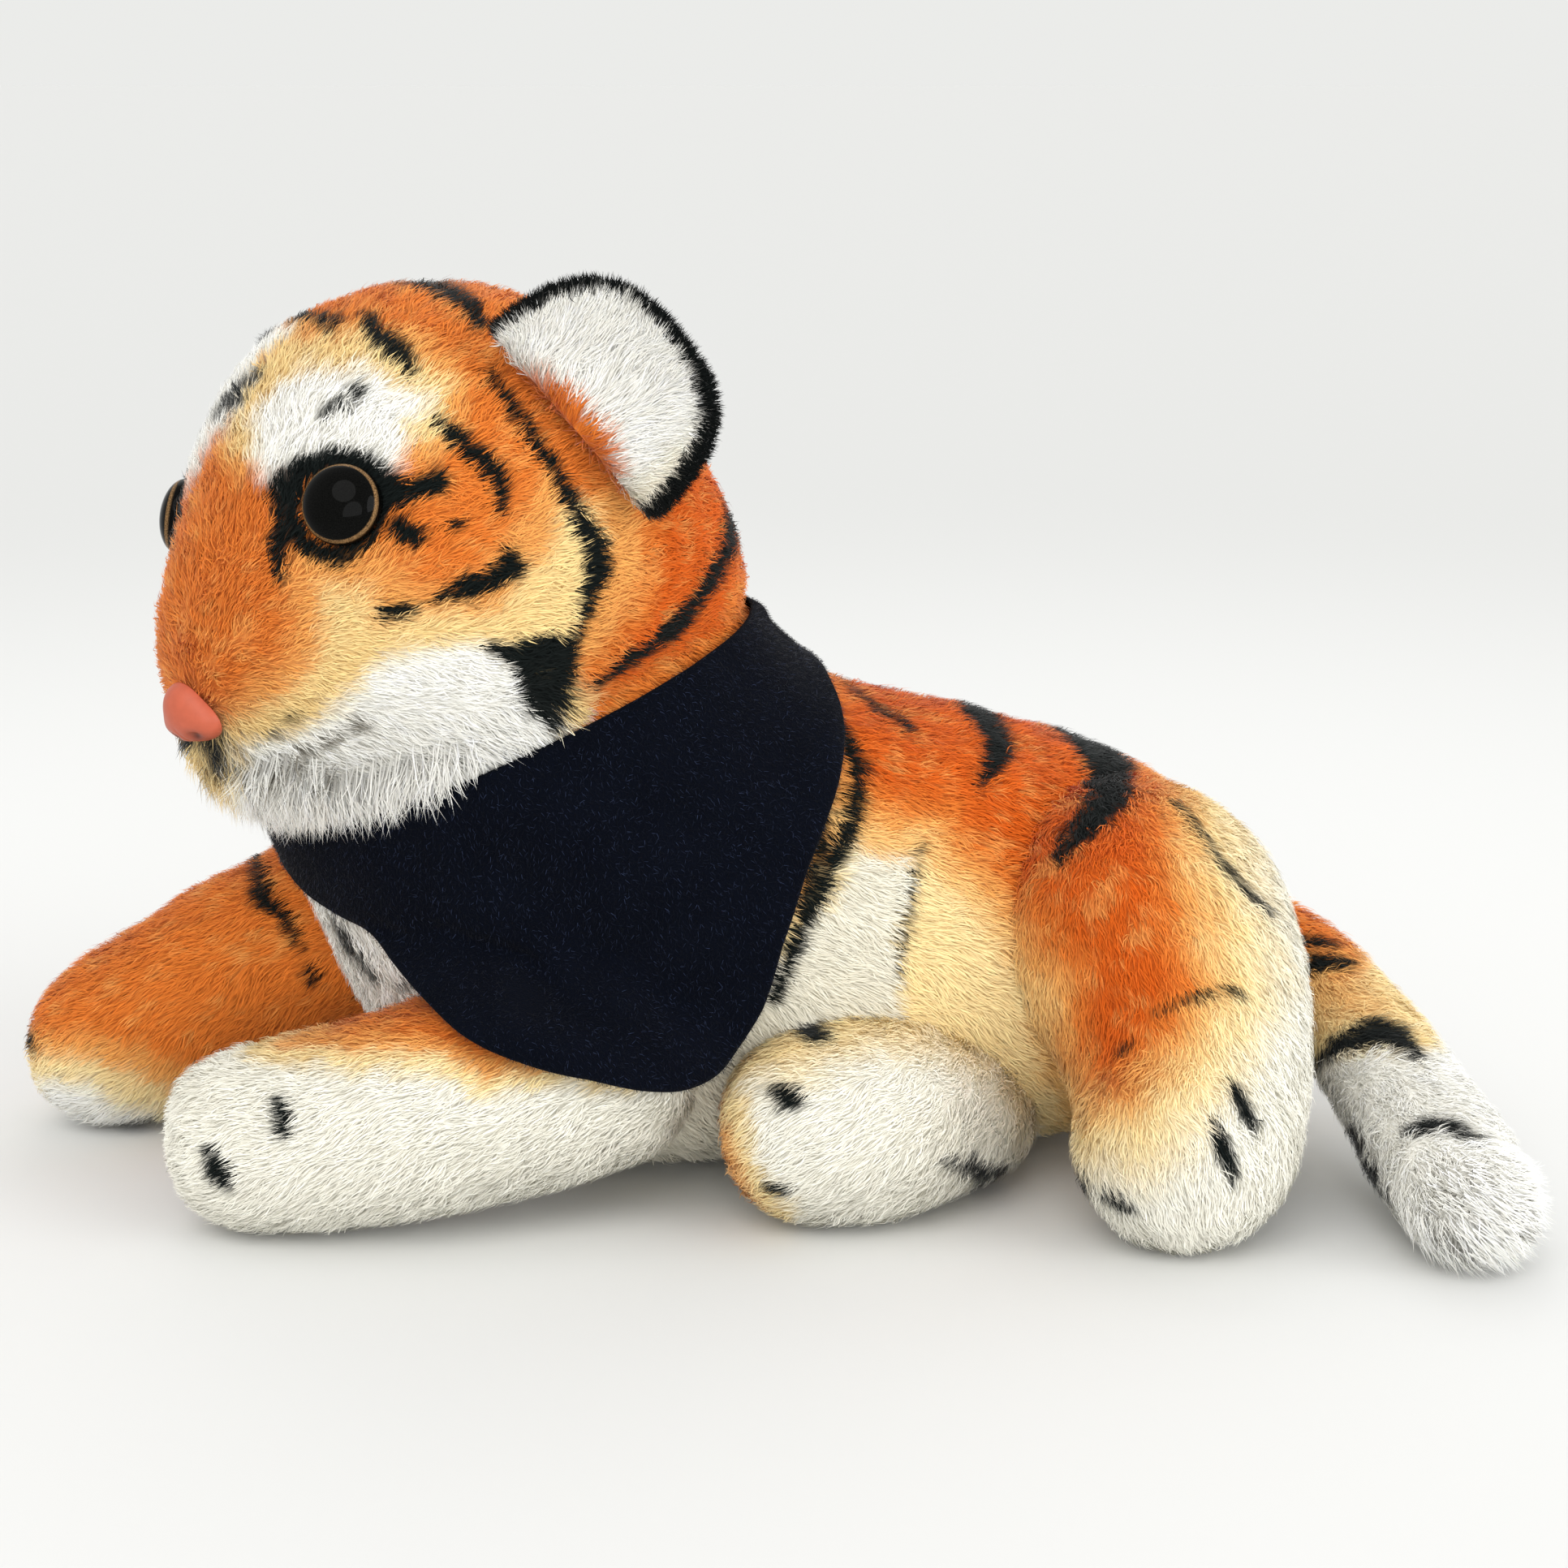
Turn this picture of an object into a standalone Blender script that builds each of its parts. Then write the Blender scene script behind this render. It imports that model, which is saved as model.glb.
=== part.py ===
"""A plush tiger cub lying down: sewn covers, stuffing, bean pouch, eyes, nose, ears, limbs, tail, bandana.

The cub faces -X, its left side is -Y and +Z is up. The origin is on the floor under the belly.
"""
import math

import bmesh
import bpy
from mathutils import Matrix, Vector
from mathutils.bvhtree import BVHTree

mm = 0.001

# Sewing and fit
plush_wall = 2.6 * mm        # thickness of a sewn cover
lining_slack = 1.0 * mm      # how much thicker a cover is inside its bends
fit_gap = 0.3 * mm           # air between neighbours
stand_cut = 0.5 * mm         # how deep a form is cut flat where it stands
ball_ease = 0.4 * mm         # how much wider a root ball is than its limb
sewn_open_share = 0.55       # opening of a limb where it is sewn on, of its root ball
weld_reach = 0.02 * mm       # points closer than this are one point

# Body
body_long = 200 * mm
body_high = 100 * mm
body_wide = 90 * mm
neck_tilt = math.radians(23.3)
neck_back_share = (-0.2425, 0.0, 0.955)   # neck centre, of body_long, body_wide, body_high
pouch_long = 76 * mm
pouch_wide = 52 * mm
pouch_high = 17 * mm

# Head
head_long = 100 * mm
head_wide = 100 * mm
head_high = 103 * mm
head_rise = 36 * mm          # head centre above the neck seam
head_yaw = math.radians(28)  # turned to the left
head_roll = math.radians(8.5)

# Eyes and nose
eye_wide = 15 * mm
eye_high = 5.2 * mm
eye_edge = 1.0 * mm
eye_sink = 0.9 * mm          # how deep an eye is let into the cover
seat_wall = 2.0 * mm         # cover left between an eye or the nose and its washer
shank_wide = 4.0 * mm
shank_long = 7.5 * mm
washer_wide = 11 * mm
washer_thick = 1.2 * mm
nose_wide = 15.5 * mm
nose_high = 12 * mm
nose_deep = 5.0 * mm
nose_sink = 0.9 * mm
nose_lobe_share = 0.11       # how much further its three corners reach

# Ears
ear_wide = 45 * mm
ear_high = 28 * mm
ear_cup = 5 * mm
ear_panel = 2.0 * mm
ear_swing = math.radians(14)
ear_square = 0.72            # 1 gives an oval ear, less a squarer one

# Limbs: widths are the thickest places, lengths run from the root ball to the toes
front_leg_long = 86 * mm
front_leg_wide = 43 * mm
far_leg_long = 92 * mm
far_leg_wide = 48 * mm
haunch_wide = 66 * mm
hind_leg_long = 62 * mm
foot_long = 57 * mm
foot_wide = 42 * mm
tail_long = 107 * mm
tail_wide = 30 * mm
foot_splay = math.radians(10)   # how far the foot swings out past the thigh
tail_tuck = math.radians(2)     # how far the tail swings in towards the rump

# Bandana
felt_thick = 1.3 * mm
tip_drop = 69 * mm
strip_thick = 0.8 * mm
strip_high = 14 * mm

# Colours, linear
orange = (0.60, 0.19, 0.035)
white = (0.80, 0.78, 0.72)
filling = (0.75, 0.75, 0.72)
navy = (0.006, 0.009, 0.018)
pink = (0.62, 0.18, 0.14)
dark_eye = (0.02, 0.012, 0.008)
clear_grey = (0.5, 0.5, 0.5)
pellet_bag = (0.35, 0.33, 0.30)

# Torso sections from the neck to the rump: the top point, the bottom point and the width
# x in body_long, z in body_high, width in body_wide
torso_section_shares = (
    (-0.065, 1.28, -0.530, 0.88, 0.80),
    (-0.012, 1.135, -0.482, 0.73, 0.86),
    (0.036, 1.02, -0.445, 0.48, 0.94),
    (0.110, 0.965, -0.375, 0.20, 0.98),
    (0.190, 0.935, -0.255, 0.01, 1.00),
    (0.275, 0.895, -0.050, -0.006, 1.00),
    (0.360, 0.835, 0.175, -0.006, 0.98),
    (0.445, 0.745, 0.370, 0.01, 0.90),
    (0.510, 0.60, 0.495, 0.12, 0.68),
    (0.540, 0.45, 0.538, 0.30, 0.28),
)

# Swellings of the head: direction in the head's own axes (forward, left, up), rise, tightness
head_bump_shares = (
    ((0.93, 0.0, -0.37), 0.25, 9.0),
    ((0.55, 0.62, -0.55), 0.05, 8.0),
    ((0.55, -0.62, -0.55), 0.05, 8.0),
    ((0.62, 0.35, 0.62), 0.03, 9.0),
    ((0.62, -0.35, 0.62), 0.03, 9.0),
)
# Swellings of the neck, in the body's axes
neck_bump_shares = (
    ((0.96, 0.0, -0.27), 0.22, 6.0),
    ((-0.52, 0.0, -0.85), 0.12, 6.0),
)

eye_place_shares = (0.78, 0.61, 0.19)     # direction of an eye, in the head's axes
nose_place_shares = (0.91, 0.0, -0.415)
ear_root_shares = (-0.02, 0.915, 0.397)   # middle of an ear's root
ear_line_shares = (-0.465, 0.18, -0.867)  # along the root, front end to back end
ear_reach_shares = (-0.39, 0.77, 0.50)    # from the root to the rim

# A limb's root ball: x in body_long and y in body_wide, at the height of its third section
# Limb sections: centre x, y, z and radius, with x and y from the root ball in limb lengths,
# and z and radius in limb widths
front_leg_root_shares = (-0.183, -0.35)
front_leg_shares = (
    (0.225, 0.0, 0.67, 0.20), (0.15, 0.0, 0.67, 0.40), (0.0, 0.0, 0.67, 0.50),
    (-0.22, -0.06, 0.63, 0.50), (-0.44, -0.07, 0.56, 0.50), (-0.62, -0.04, 0.47, 0.46),
    (-0.79, 0.01, 0.417, 0.455), (-0.92, 0.045, 0.40, 0.35), (-0.985, 0.06, 0.38, 0.17),
)
far_leg_root_shares = (-0.33, 0.31)
far_leg_shares = (
    (0.235, -0.02, 0.96, 0.20), (0.16, -0.01, 0.96, 0.40), (0.0, 0.0, 0.96, 0.50),
    (-0.21, 0.03, 0.86, 0.48), (-0.41, 0.075, 0.68, 0.455), (-0.59, 0.10, 0.48, 0.43),
    (-0.735, 0.112, 0.365, 0.41), (-0.86, 0.115, 0.34, 0.31), (-0.925, 0.116, 0.33, 0.14),
)
hind_leg_root_shares = (0.35, -0.335)
hind_leg_shares = (
    (-0.02, 0.465, 0.93, 0.22), (-0.01, 0.31, 0.89, 0.40), (0.0, 0.0, 0.79, 0.50),
    (0.085, -0.24, 0.65, 0.43), (0.10, -0.42, 0.47, 0.38), (0.045, -0.58, 0.335, 0.35),
    (-0.035, -0.72, 0.285, 0.325), (-0.10, -0.88, 0.27, 0.25), (-0.12, -0.95, 0.26, 0.12),
)
foot_root_shares = (0.20, -0.31)
foot_shares = (
    (0.175, 0.085, 0.333, 0.195), (0.10, 0.05, 0.333, 0.295), (0.0, 0.0, 0.333, 0.333),
    (-0.175, -0.175, 0.424, 0.424), (-0.38, -0.316, 0.485, 0.49), (-0.614, -0.35, 0.49, 0.50),
    (-0.807, -0.35, 0.475, 0.43), (-0.935, -0.35, 0.465, 0.28), (-0.984, -0.35, 0.46, 0.13),
)
tail_root_shares = (0.53, 0.02)
tail_shares = (
    (-0.09, 0.03, 1.37, 0.15), (-0.06, 0.02, 1.37, 0.29), (0.0, 0.0, 1.33, 0.38),
    (0.08, -0.07, 1.18, 0.40), (0.137, -0.24, 0.89, 0.415), (0.151, -0.45, 0.65, 0.445),
    (0.147, -0.65, 0.49, 0.475), (0.137, -0.80, 0.455, 0.475), (0.125, -0.91, 0.435, 0.36),
    (0.12, -0.96, 0.42, 0.17),
)

# The bandana's hem: angle round the neck from the front to the left, and drop in tip_drop
hem_shares = (
    (-98, 0.29), (-60, 0.25), (-30, 0.19), (-10, 0.15), (6, 0.14), (15, 0.20), (27, 0.29),
    (41, 0.41), (50, 0.51), (61, 0.66), (73, 0.83), (83, 0.96), (91, 1.01), (99, 1.0),
    (109, 0.91), (118, 0.77), (129, 0.62), (143, 0.48), (156, 0.37), (174, 0.27),
    (200, 0.28), (230, 0.29), (282, 0.29),
)
felt_ease = 0.8 * mm         # air under the bandana
strip_gap = 0.5 * mm         # air on each side of a closure strip
strip_inset = 2              # degrees from the bandana's ends to a strip
overlap_climb = 12           # degrees over which the upper end climbs onto the lower one
hang_from_share = 0.35       # drop from which the hem hangs free, of tip_drop
felt_flare = 5 * mm          # how far the hem stands off the shoulder
felt_give_share = 0.6        # how steeply it falls into a hollow, of its way round
felt_columns = 44
felt_rows = 8

part_collection = bpy.data.collections.new("plush_tiger")
cutter_collection = bpy.data.collections.new("cutters")


def material(name, colour, roughness, metallic=0.0):
    made = bpy.data.materials.new(name)
    made.use_nodes = True
    shader = made.node_tree.nodes["Principled BSDF"]
    shader.inputs["Base Color"].default_value = (*colour, 1)
    shader.inputs["Roughness"].default_value = roughness
    shader.inputs["Metallic"].default_value = metallic
    return made


def place(name, mesh, pivot=None, collection=None, finish=None):
    """Make an object of a mesh in world places, with its origin on the pivot."""
    thing = bpy.data.objects.new(name, mesh)
    if pivot is not None:
        mesh.transform(Matrix.Translation(-pivot))
        thing.location = pivot
    (collection or part_collection).objects.link(thing)
    if collection is cutter_collection:
        thing.hide_render = True
        thing.display_type = "WIRE"
    if finish:
        mesh.materials.append(finish)
    return thing


def mesh_of(name, form, flat_faces=False):
    if flat_faces:
        bmesh.ops.triangulate(form, faces=form.faces, quad_method="FIXED")
    bmesh.ops.recalc_face_normals(form, faces=form.faces)
    mesh = bpy.data.meshes.new(name)
    form.to_mesh(mesh)
    form.free()
    mesh.shade_smooth()
    return mesh


def cage_mesh(name, rings, flat_faces):
    """Loft closed rings of points, with a flat cap at both ends."""
    form = bmesh.new()
    loops = [[form.verts.new(point) for point in ring] for ring in rings]
    for near, far in zip(loops, loops[1:]):
        count = len(near)
        for i in range(count):
            j = (i + 1) % count
            form.faces.new((near[i], near[j], far[j], far[i]))
    form.faces.new(loops[0])
    form.faces.new(reversed(loops[-1]))
    return mesh_of(name, form, flat_faces)


def soften(thing, levels=1):
    smooth = thing.modifiers.new("soft form", "SUBSURF")
    smooth.levels = levels
    smooth.render_levels = levels


def cut(thing, cutter, operation="DIFFERENCE", solver="EXACT"):
    """Cut one closed form by another. Round limbs in round dishes need the manifold solver."""
    change = thing.modifiers.new(cutter.name, "BOOLEAN")
    change.operation = operation
    change.solver = solver
    change.object = cutter


def cage_swell(sides):
    """Smoothing draws a ring of points in by this share."""
    return 3 / (2 + math.cos(2 * math.pi / sides))


# The torso

torso_sides = 12
neck_centre = Vector((neck_back_share[0] * body_long, 0, neck_back_share[2] * body_high))
neck_up = Vector((-math.sin(neck_tilt), 0, math.cos(neck_tilt)))
neck_front = Vector((-math.cos(neck_tilt), 0, -math.sin(neck_tilt)))


def torso_mesh(name, grow, smooth=True):
    """The torso's form, grown or shrunk all round. A plain one is a cage that isn't smoothed."""
    swell = cage_swell(torso_sides) if smooth else 1
    rings = []
    count = len(torso_section_shares)
    for place_no, (top_x, top_z, low_x, low_z, wide) in enumerate(torso_section_shares):
        top = Vector((top_x * body_long, 0, top_z * body_high))
        low = Vector((low_x * body_long, 0, low_z * body_high))
        middle = (top + low) / 2
        tall = (top - low) / 2
        along = tall.normalized().cross(Vector((0, 1, 0)))
        if place_no == count - 1:
            middle -= along * grow
        half_high = tall.length * swell + grow
        half_wide = wide * body_wide / 2 * swell + grow
        ring = []
        for i in range(torso_sides):
            turn = 2 * math.pi * i / torso_sides
            offset = tall.normalized() * math.cos(turn) * half_high
            offset += Vector((0, 1, 0)) * math.sin(turn) * half_wide
            ring.append(middle + offset)
        rings.append(ring)
    return cage_mesh(name, rings, not smooth)


def torso_form(name, grow, smooth=True):
    form = place(name, torso_mesh(name, grow, smooth), None, cutter_collection)
    if smooth:
        soften(form)
    return form


# The head

head_centre = neck_centre + neck_up * head_rise
head_turning = Matrix.Rotation(head_yaw, 3, "Z")
head_forward = head_turning @ Vector((-1, 0, 0))
head_level = head_turning @ Vector((0, -1, 0))
head_rolling = Matrix.Rotation(head_roll, 3, head_forward)
head_left = head_rolling @ head_level
head_up = head_rolling @ Vector((0, 0, 1))


def head_way(shares):
    """A direction given in the head's own axes, as a direction of the world."""
    forward, left, up = shares
    return (head_forward * forward + head_left * left + head_up * up).normalized()


def head_reach(way):
    """Distance from the head's centre to its surface."""
    forward, left, up = way.dot(head_forward), way.dot(head_left), way.dot(head_up)
    reach = 1 / math.sqrt(
        (2 * forward / head_long) ** 2 + (2 * left / head_wide) ** 2 + (2 * up / head_high) ** 2)
    rise = 1
    for shares, bump, tight in head_bump_shares:
        rise += bump * math.exp(-tight * (1 - way.dot(head_way(shares))))
    for shares, bump, tight in neck_bump_shares:
        rise += bump * math.exp(-tight * (1 - way.dot(Vector(shares).normalized())))
    return reach * rise


def head_normal(way):
    """The head's outward normal, from two short steps on its surface."""
    side = way.cross(Vector((0, 0, 1))).normalized()
    rise = side.cross(way)
    step = math.radians(1)
    spots = [turned * head_reach(turned) for turned in (
        (way + side * step).normalized(), (way - side * step).normalized(),
        (way + rise * step).normalized(), (way - rise * step).normalized())]
    return (spots[2] - spots[3]).cross(spots[0] - spots[1]).normalized()


def head_spot(way):
    return head_centre + way * head_reach(way)


def head_form(name, grow, around=26, upright=16):
    form = bmesh.new()
    bmesh.ops.create_uvsphere(form, u_segments=around, v_segments=upright, radius=1)
    for vertex in form.verts:
        way = vertex.co.normalized()
        vertex.co = head_centre + way * (head_reach(way) + grow)
    return place(name, mesh_of(name, form, True), None, cutter_collection)


# Limbs

limb_sides = 8


class Limb:
    """A tapering limb that starts at a ball on the torso."""

    def __init__(self, root_shares, shares, long, wide):
        across, side = root_shares
        self.root = Vector((across * body_long, side * body_wide, shares[2][2] * wide))
        self.centres = []
        self.radii = []
        for along, aside, high, thick in shares:
            self.centres.append(
                Vector((self.root.x + along * long, self.root.y + aside * long, high * wide)))
            self.radii.append(thick * wide)
        self.ball = self.radii[2] + ball_ease
        self.into = Vector((0, -self.root.y, 0))

    def mesh(self, name, grow, smooth=True):
        swell = cage_swell(limb_sides) if smooth else 1
        rings = []
        last = len(self.centres) - 1
        # The two rings at each end move with the wall, so that the end keeps its thickness
        end_shifts = {0: -1, 1: -0.5, last - 1: 0.5, last: 1}
        for i, centre in enumerate(self.centres):
            way = (self.centres[min(i + 1, last)] - self.centres[max(i - 1, 0)]).normalized()
            side = way.cross(Vector((0, 0, 1))).normalized()
            up = side.cross(way)
            middle = centre + way * grow * end_shifts.get(i, 0)
            thick = max(self.radii[i] * swell + grow, self.radii[i] / 10)
            rings.append([
                middle + (side * math.cos(turn) + up * math.sin(turn)) * thick
                for turn in (2 * math.pi * k / limb_sides for k in range(limb_sides))])
        return cage_mesh(name, rings, not smooth)


front_leg_left = Limb(front_leg_root_shares, front_leg_shares, front_leg_long, front_leg_wide)
front_leg_right = Limb(far_leg_root_shares, far_leg_shares, far_leg_long, far_leg_wide)
hind_leg_left = Limb(hind_leg_root_shares, hind_leg_shares, hind_leg_long, haunch_wide)
hind_leg_right = Limb(foot_root_shares, foot_shares, foot_long, foot_wide)
tail = Limb(tail_root_shares, tail_shares, tail_long, tail_wide)


ball_around, ball_upright = 18, 12
# A ball of flat faces is this much larger at its corners than at its faces
ball_round = 1 / (math.cos(math.pi / ball_around) * math.cos(math.pi / ball_upright / 2))


def ball_form(name, centre, radius):
    form = bmesh.new()
    bmesh.ops.create_uvsphere(
        form, u_segments=ball_around, v_segments=ball_upright, radius=radius)
    bmesh.ops.translate(form, verts=form.verts, vec=centre)
    return place(name, mesh_of(name, form), None, cutter_collection)


def box_form(name, centre, size, turn=None):
    form = bmesh.new()
    bmesh.ops.create_cube(form, size=1)
    bmesh.ops.scale(form, verts=form.verts, vec=size)
    if turn:
        form.transform(turn.to_4x4())
    bmesh.ops.translate(form, verts=form.verts, vec=centre)
    return place(name, mesh_of(name, form), None, cutter_collection)


def rod_form(name, start, way, radius, long):
    """A round rod from a start point along a direction."""
    form = bmesh.new()
    bmesh.ops.create_cone(
        form, cap_ends=True, segments=20, radius1=radius, radius2=radius, depth=long)
    form.transform(Matrix.Translation((0, 0, long / 2)))
    form.transform(way.to_track_quat("Z", "Y").to_matrix().to_4x4())
    bmesh.ops.translate(form, verts=form.verts, vec=start)
    return place(name, mesh_of(name, form), None, cutter_collection)


def floor_form():
    """Everything below the floor."""
    size = Vector((body_long * 3, body_wide * 4, body_high))
    return box_form("below floor", Vector((0, 0, -body_high / 2)), size)


def neck_forms():
    """Everything above the neck seam and everything below it, each half a gap away from it."""
    size = Vector((body_long * 2, body_wide * 3, body_high * 2))
    turn = Matrix.Rotation(-neck_tilt, 3, "Y")
    shift = neck_up * (size.z / 2 - fit_gap / 2)
    above = box_form("above neck", neck_centre + shift, size, turn)
    below = box_form("below neck", neck_centre - shift, size, turn)
    return above, below


def swung(thing, pivot, angle):
    """A copy of a cutter, turned about an upright line, to keep a swinging limb clear of it."""
    twin = thing.copy()
    twin.name = thing.name + " swung"
    cutter_collection.objects.link(twin)
    to_pivot = Matrix.Translation(pivot)
    twin.matrix_world = to_pivot @ Matrix.Rotation(angle, 4, "Z") @ to_pivot.inverted()
    return twin


def sewn_limb(name, limb, torso_near, floor, finishes, others, swing):
    """A limb's cover, open where it is sewn on, and its stuffing. It stays clear as it swings."""
    near = torso_near.copy()
    near.data = torso_near.data.copy()
    near.name = name + " side of torso"
    cutter_collection.objects.link(near)
    cut(near, ball_form(name + " ball", limb.root, limb.ball), solver="MANIFOLD")
    if swing:
        others = (*others, swung(near, limb.root, swing))

    lining = -plush_wall - lining_slack
    inner = place(
        name + " inside", limb.mesh(name + " inside", lining, False), None, cutter_collection)
    cover = place(name + "_cover", limb.mesh(name, 0), limb.root, None, finishes["plush"])
    soften(cover)
    fill = place(
        name + "_stuffing", limb.mesh(name + " fill", lining - fit_gap, False), limb.root, None,
        finishes["filling"])
    cut(cover, inner, solver="MANIFOLD")
    inward = (limb.root - limb.centres[3]) * Vector((1, 1, 0)) + limb.into
    opening = rod_form(
        name + " sewn opening", limb.root, inward.normalized(), limb.ball * sewn_open_share,
        limb.ball * 2)
    cut(cover, opening, solver="MANIFOLD")
    for piece in (cover, fill):
        for other in (near, floor, *others):
            cut(piece, other, solver="MANIFOLD")
    return cover


def turned_mesh(name, profile, closed=False):
    mesh = bpy.data.meshes.new(name)
    edges = [(i, i + 1) for i in range(len(profile) - 1)]
    if closed:
        edges.append((len(profile) - 1, 0))
    mesh.from_pydata([(radius, 0, high) for radius, high in profile], edges, [])
    return mesh


def turn_round(thing, steps):
    screw = thing.modifiers.new("turned", "SCREW")
    screw.axis = "Z"
    screw.steps = steps
    screw.render_steps = steps
    screw.use_merge_vertices = True
    screw.merge_threshold = weld_reach
    screw.use_smooth_shade = True


def stand_on(thing, seat, way):
    thing.location = seat
    thing.rotation_mode = "QUATERNION"
    thing.rotation_quaternion = way.to_track_quat("Z", "Y")


def eye(name, seat, way, finish):
    """A domed safety eye with its shank."""
    half = eye_wide / 2
    dome = eye_high - eye_edge
    profile = [(0, eye_high)]
    for i in range(1, 7):
        turn = math.pi / 2 * i / 6
        profile.append((half * math.sin(turn), eye_edge + dome * math.cos(turn)))
    profile += [(half, 0), (shank_wide / 2, 0), (shank_wide / 2, -shank_long), (0, -shank_long)]
    thing = place(name, turned_mesh(name, profile), None, None, finish)
    turn_round(thing, 18)
    stand_on(thing, seat, way)
    return thing


def washer(name, seat, way, finish):
    """The locking washer on a shank, inside the cover."""
    bore = shank_wide / 2 + fit_gap
    half = washer_wide / 2
    profile = [(bore, washer_thick), (half, washer_thick), (half, 0), (bore, 0)]
    thing = place(name, turned_mesh(name, profile, closed=True), None, None, finish)
    turn_round(thing, 12)
    stand_on(thing, seat, way)
    return thing


def nose_mesh(name):
    """A rounded triangle that domes forward, with its shank."""
    form = bmesh.new()
    bmesh.ops.create_uvsphere(form, u_segments=18, v_segments=10, radius=1)
    bmesh.ops.bisect_plane(
        form, geom=form.verts[:] + form.edges[:] + form.faces[:], dist=weld_reach,
        plane_co=(0, 0, 0), plane_no=(0, 0, 1), clear_inner=True)
    rim = [edge for edge in form.edges if edge.is_boundary]
    bmesh.ops.contextual_create(form, geom=rim)
    for vertex in form.verts:
        around = math.atan2(vertex.co.y, vertex.co.x)
        lobe = 1 + math.cos(3 * around + math.pi / 2) * nose_lobe_share
        vertex.co.x *= lobe * nose_wide / 2
        vertex.co.y *= lobe * nose_high / 2
        vertex.co.z *= nose_deep
    return mesh_of(name, form)


def ear_point(side, along, out):
    """A place on an ear's middle sheet: along the root from -1 to 1, out from 0 to 1."""
    flip = Vector((1, side, 1))
    root_way = head_way(Vector(ear_root_shares) * flip)
    normal = head_normal(root_way)
    line = head_way(Vector(ear_line_shares) * flip)
    line = (line - normal * line.dot(normal)).normalized()
    reach = head_way(Vector(ear_reach_shares) * flip)
    reach = (reach - line * reach.dot(line)).normalized()
    face = line.cross(reach).normalized() * side
    stack = ear_panel * 2 + fit_gap
    lift = fit_gap + stack / 2 * math.sin(ear_swing + normal.angle(reach))
    root = head_spot(root_way) + normal * lift
    rise = reach * out + (normal - reach) * out * (1 - out)
    cup = 4 * out * (1 - out) * (1 - along * along)
    middle = root + line * along * ear_wide / 2 + rise * ear_high - face * cup * ear_cup
    return middle, face, root, line


def ear_panel_mesh(name, side, layer):
    """One sewn panel of an ear: layer is 1 in front and -1 behind."""
    rays, steps = 12, 4
    form = bmesh.new()
    rows = []
    for ray in range(rays + 1):
        turn = math.pi * ray / rays
        row = []
        for step in range(steps + 1):
            share = step / steps
            along = math.copysign(abs(math.cos(turn)) ** ear_square, -math.cos(turn))
            out = max(math.sin(turn), 0) ** ear_square
            middle, face, _, _ = ear_point(side, along * share, out * share)
            row.append(form.verts.new(middle + face * layer * (fit_gap + ear_panel) / 2))
        rows.append(row)
    for near, far in zip(rows, rows[1:]):
        for step in range(steps):
            form.faces.new((near[step], near[step + 1], far[step + 1], far[step]))
    bmesh.ops.remove_doubles(form, verts=form.verts, dist=weld_reach)
    return mesh_of(name, form)


def catmull(points, place_at):
    """Smooth reading of a table of (place, value)."""
    last = len(points) - 1
    i = 0
    while i < last - 1 and points[i + 1][0] < place_at:
        i += 1
    before = points[max(i - 1, 0)][1]
    start, end = points[i][1], points[i + 1][1]
    after = points[min(i + 2, last)][1]
    t = (place_at - points[i][0]) / (points[i + 1][0] - points[i][0])
    return 0.5 * (2 * start + (end - before) * t + (2 * before - 5 * start + 4 * end - after) * t ** 2
                  + (3 * start - before - 3 * end + after) * t ** 3)


def neck_way(degrees):
    turn = math.radians(degrees)
    return neck_front * math.cos(turn) + Vector((0, -1, 0)) * math.sin(turn)


def rest_surface(things):
    """What the bandana lies on, for measuring."""
    bpy.context.view_layer.update()
    graph = bpy.context.evaluated_depsgraph_get()
    return [(BVHTree.FromObject(thing, graph), thing.matrix_world.inverted()) for thing in things]


def lie_distance(trees, degrees, drop):
    """How far the resting surface reaches from the neck's axis."""
    far = body_wide * 2
    way = neck_way(degrees)
    start = neck_centre - neck_up * drop + way * far
    best = 0
    for tree, inverse in trees:
        hit = tree.ray_cast(inverse @ start, inverse.to_3x3() @ -way, far)
        if hit[0] is not None:
            best = max(best, far - hit[3])
    return best


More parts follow.
